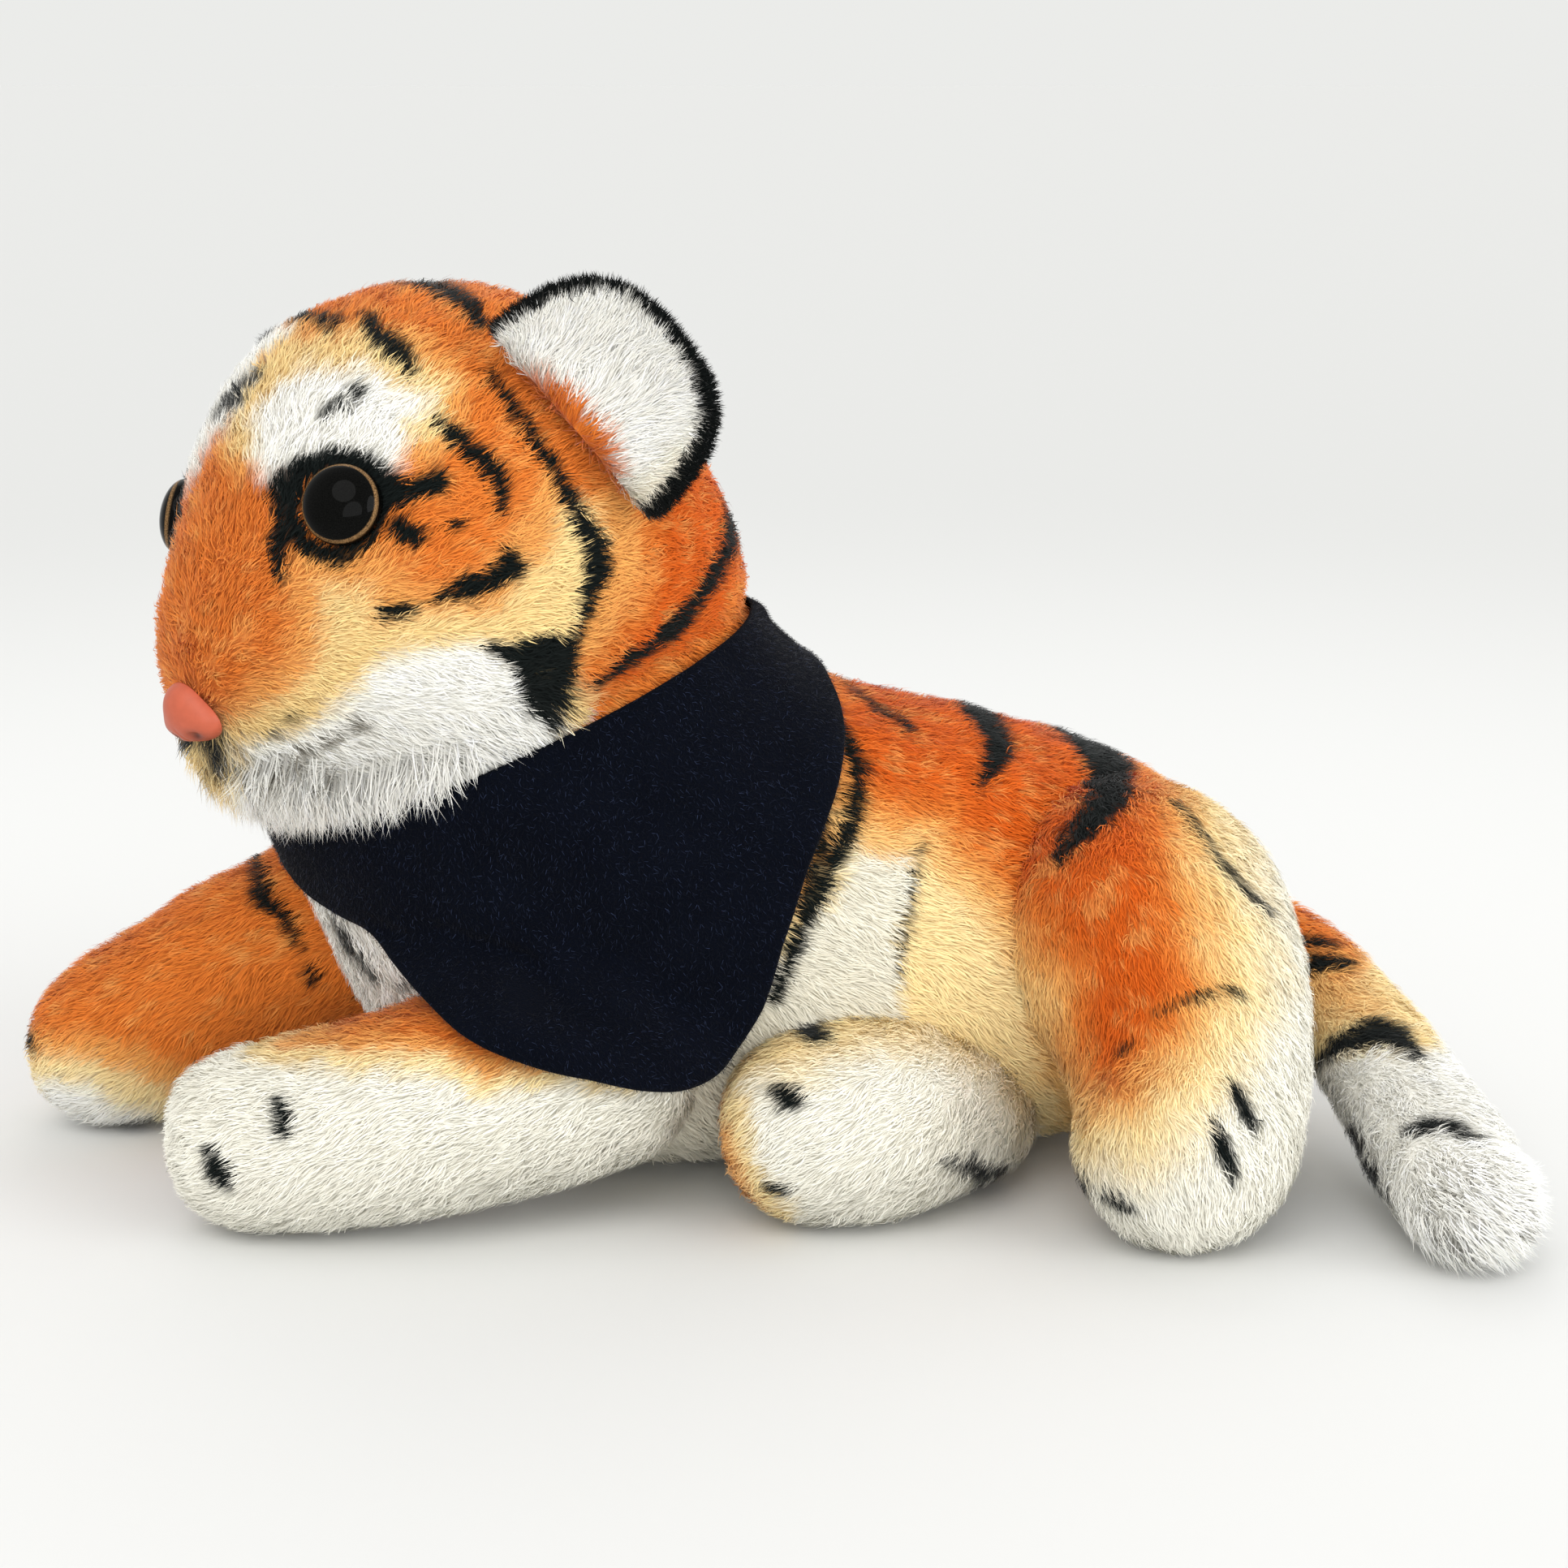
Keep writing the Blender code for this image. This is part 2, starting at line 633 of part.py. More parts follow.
def sheet_mesh(name, trees, first, last, top, low_at, lift_at, thick, columns, rows):
    """A sheet round the neck from its top edge to its hem, lying on what is under it."""
    form = bmesh.new()
    inner, outer = [], []
    stride = (last - first) / columns
    look = (hem_shares[-1][0] - hem_shares[0][0]) / felt_columns / 2
    drops, reaches = [], []
    for column in range(columns + 1):
        degrees = first + stride * column
        low = low_at(degrees)
        drops.append([top + (low - top) * row / rows for row in range(rows + 1)])
        reach, column_reaches = 0, []
        for drop in drops[-1]:
            under = min(drop + (low - top) / rows / 2, low)
            for aside in (-look, 0, look):
                for level in (drop, under):
                    reach = max(reach, lie_distance(trees, degrees + aside, level))
            column_reaches.append(reach)
        reaches.append(column_reaches)
    # Cloth bridges a hollow: from one column to the next it falls in by no more than its give
    give = felt_give_share * body_wide / 2 * math.radians(stride)
    for order in (range(1, columns + 1), range(columns - 1, -1, -1)):
        for i in order:
            beside = reaches[i - 1 if order.step > 0 else i + 1]
            reaches[i] = [max(own, other - give) for own, other in zip(reaches[i], beside)]
    for column in range(columns + 1):
        degrees = first + stride * column
        near, far = [], []
        for row, (drop, reach) in enumerate(zip(drops[column], reaches[column])):
            lift = lift_at(degrees, row / rows)
            spot = neck_centre - neck_up * drop
            near.append(form.verts.new(spot + neck_way(degrees) * (reach + lift)))
            far.append(form.verts.new(spot + neck_way(degrees) * (reach + lift + thick)))
        inner.append(near)
        outer.append(far)
    for i in range(columns):
        for j in range(rows):
            form.faces.new((inner[i][j], inner[i + 1][j], inner[i + 1][j + 1], inner[i][j + 1]))
            form.faces.new((outer[i][j], outer[i][j + 1], outer[i + 1][j + 1], outer[i + 1][j]))
        form.faces.new((inner[i][0], outer[i][0], outer[i + 1][0], inner[i + 1][0]))
        form.faces.new((inner[i][rows], inner[i + 1][rows], outer[i + 1][rows], outer[i][rows]))
    for j in range(rows):
        form.faces.new((inner[0][j], inner[0][j + 1], outer[0][j + 1], outer[0][j]))
        end_inner, end_outer = inner[columns], outer[columns]
        form.faces.new((end_inner[j], end_outer[j], end_outer[j + 1], end_inner[j + 1]))
    return mesh_of(name, form)


def build_body(finishes, cutters):
    outer = torso_mesh("torso cover", 0)
    cover = place("torso_cover", outer, None, None, finishes["plush"])
    soften(cover)
    lining = -plush_wall - lining_slack
    cut(cover, torso_form("torso inside", lining, False))
    fill = place(
        "torso_stuffing", torso_mesh("torso fill", lining - fit_gap, False), None, None,
        finishes["filling"])
    pouch = place(
        "bean_pouch", torso_mesh("pouch", lining - fit_gap, False), None, None, finishes["pouch"])

    lens = []
    for name, grow in (("pouch lens", 0), ("pouch room", fit_gap)):
        form = bmesh.new()
        bmesh.ops.create_uvsphere(form, u_segments=16, v_segments=10, radius=1)
        size = Vector((pouch_long / 2, pouch_wide / 2, pouch_high))
        bmesh.ops.scale(form, verts=form.verts, vec=size + Vector((grow, grow, grow)))
        bmesh.ops.translate(form, verts=form.verts, vec=Vector((pouch_long / 6, 0, plush_wall)))
        lens.append(place(name, mesh_of(name, form), None, cutter_collection))
    inside_floor = box_form(
        "inside floor", Vector((0, 0, plush_wall - stand_cut + fit_gap - body_high / 2)),
        Vector((body_long * 3, body_wide * 2, body_high)))
    cut(pouch, lens[0], "INTERSECT")
    cut(pouch, inside_floor)
    cut(fill, lens[1])
    for piece in (cover, fill, pouch):
        for name in limbs:
            cut(piece, cutters[name])
    for piece in (cover, fill):
        cut(piece, cutters["above"])
    cut(cover, cutters["floor"])
    return cover


def build_head(finishes, cutters):
    cover = place("head_cover", head_form("head cover", 0).data.copy(), neck_centre, None,
                  finishes["plush"])
    lining = -plush_wall - lining_slack
    fill = place("head_stuffing", head_form("head fill", lining - fit_gap, 18, 11).data.copy(),
                 neck_centre, None, finishes["filling"])
    cut(cover, head_form("head inside", lining, 18, 11))
    for piece in (cover, fill):
        cut(piece, cutters["below"])

    for side, word in ((1, "left"), (-1, "right")):
        way = head_way(Vector(eye_place_shares) * Vector((1, side, 1)))
        fasten(word, head_spot(way), head_normal(way), cover, fill, finishes, side)
    way = head_way(nose_place_shares)
    fasten("nose", head_spot(way), head_normal(way), cover, fill, finishes, 0)


def fasten(word, spot, normal, cover, fill, finishes, side):
    """Seat an eye or the nose on the cover, with its shank through it and its washer inside."""
    sink = eye_sink if side else nose_sink
    half = (eye_wide if side else nose_wide * (1 + nose_lobe_share)) / 2 + fit_gap
    seat = spot - normal * sink
    cut(cover, rod_form(word + " seat", seat, normal, half, eye_wide))
    start = seat + normal * eye_sink
    deep = shank_long + eye_sink * 2
    cut(cover, rod_form(word + " shank hole", start, -normal, shank_wide / 2 + fit_gap, deep))
    cut(fill, rod_form(word + " shank room", start, -normal, shank_wide / 2 + fit_gap * 2, deep))
    pocket = seat - normal * seat_wall
    room = rod_form(
        word + " washer room", pocket, -normal, washer_wide / 2 + fit_gap,
        lining_slack * 3 + plush_wall + washer_thick)
    for piece in (cover, fill):
        cut(piece, room)
    washer_spot = pocket - normal * (washer_thick + fit_gap)
    lifted = seat + normal * fit_gap
    if side:
        eye("eye_" + word, lifted, normal, finishes["eye"])
        washer("eye_washer_" + word, washer_spot, normal, finishes["washer"])
    else:
        dome = place("nose", nose_mesh("nose"), None, None, finishes["nose"])
        grip = nose_deep / 5
        shank = rod_form("nose shank", Vector((0, 0, grip)), Vector((0, 0, -1)),
                         shank_wide / 2, shank_long + grip)
        dome.location = lifted
        dome.rotation_mode = "QUATERNION"
        across = head_left - normal * head_left.dot(normal)
        across.normalize()
        axes = Matrix((across, normal.cross(across), normal)).transposed()
        dome.rotation_quaternion = axes.to_quaternion()
        shank.matrix_world = Matrix.Translation(lifted) @ axes.to_4x4()
        cut(dome, shank, "UNION")
        washer("nose_washer", washer_spot, normal, finishes["washer"])


def build_ears(finishes):
    for side, word in ((1, "left"), (-1, "right")):
        root = ear_point(side, 0, 0)[2]
        for layer, end, finish in ((1, "front", "white"), (-1, "back", "plush")):
            name = "ear_" + word + "_" + end
            panel = place(name, ear_panel_mesh(name, side, layer), root, None, finishes[finish])
            thick = panel.modifiers.new("panel", "SOLIDIFY")
            thick.thickness = ear_panel
            thick.offset = 0


def build_bandana(finishes, things):
    trees = rest_surface(things)
    stack = felt_thick + strip_thick * 2 + strip_gap * 3
    first, last = hem_shares[0][0], hem_shares[-1][0]
    joined = last - 360

    def low_at(degrees):
        return catmull(hem_shares, degrees) * tip_drop

    def lift_at(degrees, down):
        climb = min(max((degrees - (first + 360 - overlap_climb)) / overlap_climb, 0), 1)
        smooth = climb * climb * (3 - 2 * climb)
        hang = max(low_at(degrees) / tip_drop - hang_from_share, 0) * down ** 2
        return felt_ease + smooth * stack + hang * felt_flare

    top = fit_gap
    place("bandana", sheet_mesh(
        "bandana", trees, first, last, top, low_at, lift_at, felt_thick, felt_columns, felt_rows),
        None, None, finishes["felt"])
    strip_top = fit_gap + (low_at(first) - strip_high) / 2
    for order, name in ((0, "hook_strip"), (1, "loop_strip")):
        lift = felt_ease + felt_thick + strip_gap + order * (strip_thick + strip_gap)
        place(name, sheet_mesh(
            name, trees, first + strip_inset, joined - strip_inset, strip_top,
            lambda degrees: strip_top + strip_high, lambda degrees, down, rise=lift: rise,
            strip_thick, 4, 4), None, None, finishes["strip"])


limbs = {
    "front_leg_left": front_leg_left, "front_leg_right": front_leg_right,
    "hind_leg_left": hind_leg_left, "hind_leg_right": hind_leg_right, "tail": tail,
}


def build():
    finishes = {
        "plush": material("plush fur", orange, 0.95),
        "white": material("white fur", white, 0.95),
        "filling": material("polyester filling", filling, 0.95),
        "pouch": material("pellet bag", pellet_bag, 0.9),
        "felt": material("navy felt", navy, 0.95),
        "strip": material("closure strip", navy, 0.8),
        "nose": material("nose plastic", pink, 0.35),
        "eye": material("eye plastic", dark_eye, 0.08),
        "washer": material("washer plastic", clear_grey, 0.5),
    }
    floor = floor_form()
    above, below = neck_forms()
    cutters = {"floor": floor, "above": above, "below": below}
    for name, limb in limbs.items():
        cutters[name] = ball_form(
            name + " dish", limb.root, (limb.ball + fit_gap) * ball_round)
    torso_near = torso_form("torso with gap", fit_gap)
    thigh = place("thigh with gap", hind_leg_left.mesh("thigh", fit_gap), None, cutter_collection)
    soften(thigh)
    swung_thigh = swung(thigh, hind_leg_right.root, -foot_splay)

    torso = build_body(finishes, cutters)
    build_head(finishes, cutters)
    build_ears(finishes)
    covers = {}
    for name, limb in limbs.items():
        others = (thigh, swung_thigh) if name == "hind_leg_right" else ()
        swing = {"tail": tail_tuck, "hind_leg_right": -foot_splay}.get(name, 0)
        covers[name] = sewn_limb(name, limb, torso_near, floor, finishes, others, swing)
    build_bandana(finishes, [torso, covers["front_leg_left"], cutters["front_leg_right"]])


for old in list(bpy.data.objects):
    bpy.data.objects.remove(old, do_unlink=True)
bpy.context.scene.collection.children.link(part_collection)
bpy.context.scene.collection.children.link(cutter_collection)
build()
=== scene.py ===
"""The looks of the plush tiger cub: padded skins under fur, eyes, nose, ears and a bandana.

The cub faces -X, its left side is -Y and +Z is up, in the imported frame, in metres.
Sizes and forms repeat those of the part's source. Marks are placed by the photograph's pixels.
"""

import math

import bmesh
import bpy
import numpy as np
from mathutils import Matrix, Vector
from mathutils.bvhtree import BVHTree


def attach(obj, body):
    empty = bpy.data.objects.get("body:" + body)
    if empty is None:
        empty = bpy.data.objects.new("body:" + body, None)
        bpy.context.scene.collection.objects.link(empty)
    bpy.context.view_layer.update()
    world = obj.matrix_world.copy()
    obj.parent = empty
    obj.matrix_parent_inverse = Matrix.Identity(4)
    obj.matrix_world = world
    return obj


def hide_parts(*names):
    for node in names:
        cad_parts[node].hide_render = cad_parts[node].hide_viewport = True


mm = 0.001
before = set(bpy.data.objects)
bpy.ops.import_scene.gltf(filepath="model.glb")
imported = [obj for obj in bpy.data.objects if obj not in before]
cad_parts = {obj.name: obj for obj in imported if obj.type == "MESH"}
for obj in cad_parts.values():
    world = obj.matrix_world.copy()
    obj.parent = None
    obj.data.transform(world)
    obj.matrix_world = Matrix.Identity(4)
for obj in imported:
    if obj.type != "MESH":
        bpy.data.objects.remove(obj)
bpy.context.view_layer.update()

# Camera
photo_side = 1932
focal_px = 3924
view_azimuth = math.radians(-10)
view_elevation = math.radians(13)
view_distance = 620 * mm
view_target = Vector((0, -30 * mm, 84 * mm))

# Sizes of the part
plush_depth = 1.8 * mm       # how far the skin lies under the pile's outline
body_long, body_high, body_wide = 200 * mm, 100 * mm, 90 * mm
neck_tilt = math.radians(23.3)
head_long, head_wide, head_high = 100 * mm, 100 * mm, 103 * mm
head_rise = 36 * mm
head_yaw, head_roll = math.radians(28), math.radians(8.5)
eye_wide, eye_high, eye_edge, eye_sink = 15 * mm, 5.2 * mm, 1.0 * mm, 0.9 * mm
nose_wide, nose_high, nose_deep, nose_sink = 15.5 * mm, 12 * mm, 5.0 * mm, 0.9 * mm
nose_lobe_share = 0.11
ear_wide, ear_high, ear_cup, ear_panel = 45 * mm, 28 * mm, 5 * mm, 2.0 * mm
ear_swing, ear_square = math.radians(14), 0.72
fit_gap = 0.3 * mm
felt_thick, tip_drop, neck_radius = 1.3 * mm, 69 * mm, 47 * mm

torso_section_shares = (
    (-0.065, 1.28, -0.530, 0.88, 0.80),
    (-0.012, 1.135, -0.482, 0.73, 0.86),
    (0.036, 1.02, -0.445, 0.48, 0.94),
    (0.110, 0.965, -0.375, 0.20, 0.98),
    (0.190, 0.935, -0.255, 0.01, 1.00),
    (0.275, 0.895, -0.050, -0.006, 1.00),
    (0.360, 0.835, 0.175, -0.006, 0.98),
    (0.445, 0.745, 0.370, 0.01, 0.90),
    (0.510, 0.60, 0.495, 0.12, 0.68),
    (0.540, 0.45, 0.538, 0.30, 0.28),
)
head_bump_shares = (
    ((0.93, 0.0, -0.37), 0.25, 9.0),
    ((0.55, 0.62, -0.55), 0.05, 8.0),
    ((0.55, -0.62, -0.55), 0.05, 8.0),
    ((0.62, 0.35, 0.62), 0.03, 9.0),
    ((0.62, -0.35, 0.62), 0.03, 9.0),
)
neck_bump_shares = (
    ((0.96, 0.0, -0.27), 0.22, 6.0),
    ((-0.52, 0.0, -0.85), 0.12, 6.0),
)
eye_place_shares = (0.78, 0.61, 0.19)
nose_place_shares = (0.91, 0.0, -0.415)
ear_root_shares = (-0.02, 0.915, 0.397)
ear_line_shares = (-0.465, 0.18, -0.867)
ear_reach_shares = (-0.39, 0.77, 0.50)

# Each limb: root place, sections, length and width
limb_tables = {
    "front_leg_left": ((-0.183, -0.35), (
        (0.225, 0.0, 0.67, 0.20), (0.15, 0.0, 0.67, 0.40), (0.0, 0.0, 0.67, 0.50),
        (-0.22, -0.06, 0.63, 0.50), (-0.44, -0.07, 0.56, 0.50), (-0.62, -0.04, 0.47, 0.46),
        (-0.79, 0.01, 0.417, 0.455), (-0.92, 0.045, 0.40, 0.35), (-0.985, 0.06, 0.38, 0.17),
    ), 86 * mm, 43 * mm),
    "front_leg_right": ((-0.33, 0.31), (
        (0.235, -0.02, 0.96, 0.20), (0.16, -0.01, 0.96, 0.40), (0.0, 0.0, 0.96, 0.50),
        (-0.21, 0.03, 0.86, 0.48), (-0.41, 0.075, 0.68, 0.455), (-0.59, 0.10, 0.48, 0.43),
        (-0.735, 0.112, 0.365, 0.41), (-0.86, 0.115, 0.34, 0.31), (-0.925, 0.116, 0.33, 0.14),
    ), 92 * mm, 48 * mm),
    "hind_leg_left": ((0.35, -0.335), (
        (-0.02, 0.465, 0.93, 0.22), (-0.01, 0.31, 0.89, 0.40), (0.0, 0.0, 0.79, 0.50),
        (0.085, -0.24, 0.65, 0.43), (0.10, -0.42, 0.47, 0.38), (0.045, -0.58, 0.335, 0.35),
        (-0.035, -0.72, 0.285, 0.325), (-0.10, -0.88, 0.27, 0.25), (-0.12, -0.95, 0.26, 0.12),
    ), 62 * mm, 66 * mm),
    "hind_leg_right": ((0.20, -0.31), (
        (0.175, 0.085, 0.333, 0.195), (0.10, 0.05, 0.333, 0.295), (0.0, 0.0, 0.333, 0.333),
        (-0.175, -0.175, 0.424, 0.424), (-0.38, -0.316, 0.485, 0.49), (-0.614, -0.35, 0.49, 0.50),
        (-0.807, -0.35, 0.475, 0.43), (-0.935, -0.35, 0.465, 0.28), (-0.984, -0.35, 0.46, 0.13),
    ), 57 * mm, 42 * mm),
    "tail": ((0.53, 0.02), (
        (-0.09, 0.03, 1.37, 0.15), (-0.06, 0.02, 1.37, 0.29), (0.0, 0.0, 1.33, 0.38),
        (0.08, -0.07, 1.18, 0.40), (0.137, -0.24, 0.89, 0.415), (0.151, -0.45, 0.65, 0.445),
        (0.147, -0.65, 0.49, 0.475), (0.137, -0.80, 0.455, 0.475), (0.125, -0.91, 0.435, 0.36),
        (0.12, -0.96, 0.42, 0.17),
    ), 107 * mm, 30 * mm),
}
hem_shares = (
    (-98, 0.29), (-60, 0.25), (-30, 0.19), (-10, 0.15), (6, 0.14), (15, 0.20), (27, 0.29),
    (41, 0.41), (50, 0.51), (61, 0.66), (73, 0.83), (83, 0.96), (91, 1.01), (99, 1.0),
    (109, 0.91), (118, 0.77), (129, 0.62), (143, 0.48), (156, 0.37), (174, 0.27),
    (200, 0.28), (230, 0.29), (282, 0.29),
)
felt_columns, felt_rows = 44, 8

# Pile
skin_inset = -plush_depth
pile_split = 25 * mm          # the torso's pile is four pieces, cut here and along the middle
pile_floor = 0.15 * mm
pile_density, pile_wide = ((3.7, 0.25 * mm))
ear_density = 14.0
nap_count = 30000
# The skins under the pile are painted darker by the first factor: painted shade among the pile's
# roots.
painted_backing_shade, mottle_share = 0.9, 0.6
mark_soft, dot_soft, dot_share = 4.5, 5, 0.85

# Colours as seen, red green blue of 255
deep_orange = (216, 98, 26)
orange = (224, 124, 48)
light_orange = (236, 166, 88)
cream = (249, 224, 166)
tan = (243, 196, 124)
white = (253, 251, 243)
warm_white = (244, 241, 228)
belly_white = (234, 229, 211)
face_cream = (244, 214, 149)
stripe = (15, 21, 20)
whisker = (82, 72, 50)
pupil = (7, 7, 6)
iris = (120, 92, 60)
nose_pink = (184, 90, 64)
felt_navy, felt_fibre = (6, 9, 18), (40, 48, 70)

# Marks in the photograph's pixels: a line's points, x and y by turns, and its widths from end
# to end
saddle_stripe = ((1312, 907, 1334, 922, 1366, 949, 1370, 976, 1357, 998, 1330, 1030, 1303, 1061),
    (16, 30, 58, 60, 46, 34, 18))
chest_mark = ((499, 1218, 522, 1198), (10, 10))
marks = {
    "torso": (
        ((1045, 850, 1080, 878, 1107, 891, 1125, 909), (6, 12, 10)),
        ((1192, 878, 1218, 896, 1232, 922, 1223, 949, 1209, 974), (20, 38, 38, 10)),
        saddle_stripe,
        ((1134, 1042, 1129, 1083, 1120, 1119, 1113, 1172, 1108, 1204), (6, 9, 9, 8, 5)),
        ((965, 822, 1010, 870, 1040, 915, 1060, 950, 1050, 1020, 1020, 1080, 985, 1150, 955, 1230),
         (14, 20, 24, 26, 26, 24, 22, 20)),
        ((955, 850, 990, 900, 1012, 960, 1012, 1040, 985, 1120), (14, 20, 24, 20, 14)),
        ((416, 1132, 436, 1166, 468, 1204), (8, 16, 10)),
        chest_mark,
    ),
    "hind_leg_left": (
        saddle_stripe,
        ((1450, 992, 1482, 1034, 1508, 1070, 1544, 1110, 1562, 1130), (8, 9, 9)),
        ((1424, 1251, 1460, 1235, 1504, 1224, 1531, 1230), (5, 10, 8)),
        ((1380, 1298, 1394, 1288), (7, 7)),
        ((1518, 1340, 1534, 1370, 1546, 1400), (12, 20, 10)),
        ((1493, 1388, 1506, 1420, 1519, 1454), (12, 22, 12)),
        ((1368, 1474, 1384, 1484, 1400, 1492), (14, 16, 8)),
        ((1326, 1446, 1338, 1466, 1348, 1484), (14, 20, 10)),
    ),
    "hind_leg_right": (
        ((988, 1270, 1000, 1276, 1014, 1280), (24, 28, 20)),
        ((955, 1346, 972, 1356, 988, 1362), (16, 30, 14)),
        ((940, 1455, 952, 1462, 966, 1466), (10, 14, 10)),
        ((1156, 1432, 1190, 1440, 1230, 1444, 1259, 1446), (5, 14, 16, 5)),
        ((1194, 1430, 1202, 1450), (14, 14)),
    ),
    "tail": (
        ((1580, 1172, 1610, 1163, 1645, 1168), (9, 14, 10)),
        ((1588, 1200, 1620, 1190, 1662, 1192), (20, 26, 16)),
        ((1625, 1313, 1650, 1290, 1690, 1276, 1725, 1284, 1754, 1306), (10, 22, 38, 34, 12)),
        ((1738, 1396, 1766, 1388, 1800, 1394, 1830, 1416), (16, 20, 15, 7)),
        ((1668, 1394, 1680, 1418), (11, 14)),
        ((1686, 1432, 1698, 1454), (14, 14)),
        ((1704, 1470, 1712, 1490), (14, 14)),
        ((1718, 1504, 1726, 1522), (12, 10)),
    ),
    "front_leg_right": (
        ((316, 1057, 321, 1103, 350, 1132, 373, 1172), (10, 26, 20, 10)),
        ((380, 1196, 384, 1206), (18, 16)),
        ((160, 1386, 184, 1384), (22, 20)),
        ((38, 1276, 44, 1290), (10, 12)),
        ((64, 1186, 74, 1190), (8, 8)),
    ),
    "front_leg_left": (
        ((343, 1364, 350, 1394), (20, 24)),
        ((255, 1420, 268, 1438, 278, 1456), (16, 30, 16)),
        chest_mark,
    ),
    "head": (
        ((417, 568, 461, 586, 477, 628, 461, 672, 417, 690, 373, 672, 358, 630, 373, 586,
         417, 568), (16, 16, 14, 14, 22, 24)),
        ((455, 592, 417, 576, 379, 592, 363, 630, 379, 668, 417, 684), (12, 16, 20, 24, 20, 12)),
        ((346, 606, 370, 574, 418, 560, 456, 572, 488, 600), (26, 26, 22, 24, 34)),
        ((470, 610, 500, 604, 528, 598, 548, 586), (36, 30, 32, 20)),
        ((466, 634, 490, 618, 524, 606), (28, 24, 14)),
        ((470, 650, 440, 676, 400, 676, 368, 660), (14, 14, 14, 18)),
        ((362, 592, 354, 622, 350, 660, 348, 706), (20, 26, 22, 16)),
        ((342, 662, 347, 710), (20, 12)),
        ((272, 514, 298, 480, 330, 455), (8, 12, 6)),
        ((292, 498, 304, 490), (9, 9)),
        ((308, 412, 345, 395, 388, 393, 422, 398), (8, 11, 14, 8)),
        ((402, 398, 410, 412), (14, 12)),
        ((456, 398, 471, 417, 495, 436, 514, 458), (22, 30, 28, 14)),
        ((440, 478, 450, 484), (18, 12)),
        ((424, 496, 436, 500), (14, 12)),
        ((404, 512, 416, 502), (10, 12)),
        ((447, 344, 480, 344, 519, 356), (12, 22, 8)),
        ((519, 356, 553, 364, 582, 383, 592, 402), (10, 20, 28, 22)),
        ((543, 519, 568, 543, 597, 567, 619, 591, 621, 630), (16, 28, 24, 26, 14)),
        ((498, 655, 516, 663), (32, 30)),
        ((558, 644, 568, 644), (14, 14)),
        ((536, 740, 568, 727, 607, 717, 631, 698, 626, 672), (6, 26, 36, 36, 16)),
        ((480, 752, 508, 750), (20, 18)),
        ((604, 462, 626, 494, 655, 533, 684, 582, 708, 630, 733, 669, 737, 703, 723, 742,
         713, 780), (16, 18, 16, 18, 24, 34, 34, 20, 12)),
        ((610, 798, 650, 806, 690, 800, 690, 860), (16, 40, 50, 30)),
        ((640, 810, 662, 846, 680, 888), (24, 44, 18)),
        ((735, 843, 771, 810, 825, 776, 868, 722, 893, 679, 897, 630, 884, 600),
         (16, 20, 24, 24, 20, 18, 10)),
        ((216, 892, 232, 904, 250, 912), (12, 18, 14)),
        ((262, 902, 280, 916, 290, 938), (16, 22, 14)),
        ((250, 940, 268, 948), (6, 9)),
    ),
}
whisker_dots = (
    ((358, 884, 370, 880), 10), ((336, 904, 346, 900), 9), ((436, 892, 452, 888), 14),
    ((406, 912, 420, 904), 11), ((375, 924, 388, 920), 10), ((360, 944, 370, 940), 10),
    ((340, 960, 352, 958), 9), ((408, 964, 420, 960), 8),
)

# Airbrushed areas in the photograph's pixels: the corners, x and y by turns, then the colours
# by distance inside
haunch_orange = (1100, 1012, 1160, 1012, 1230, 1100, 1280, 1150, 1318, 1208, 1325, 1306,
    1350, 1345, 1386, 1345, 1430, 1296, 1470, 1217, 1460, 1150, 1444, 1083, 1425, 960, 1400, 780,
    1010, 700, 1010, 900, 1040, 980)
flank = (
    (haunch_orange, ((-150, warm_white), (-50, cream))),
    ((1131, 1010, 1200, 1030, 1290, 1090, 1340, 1180, 1350, 1400, 1290, 1400, 1240, 1330,
     1180, 1290, 1104, 1262, 1112, 1190, 1120, 1110), ((-7, None), (9, cream))),
    (haunch_orange,
     ((-66, None), (-30, tan), (-8, light_orange), (14, orange), (48, deep_orange))),
)
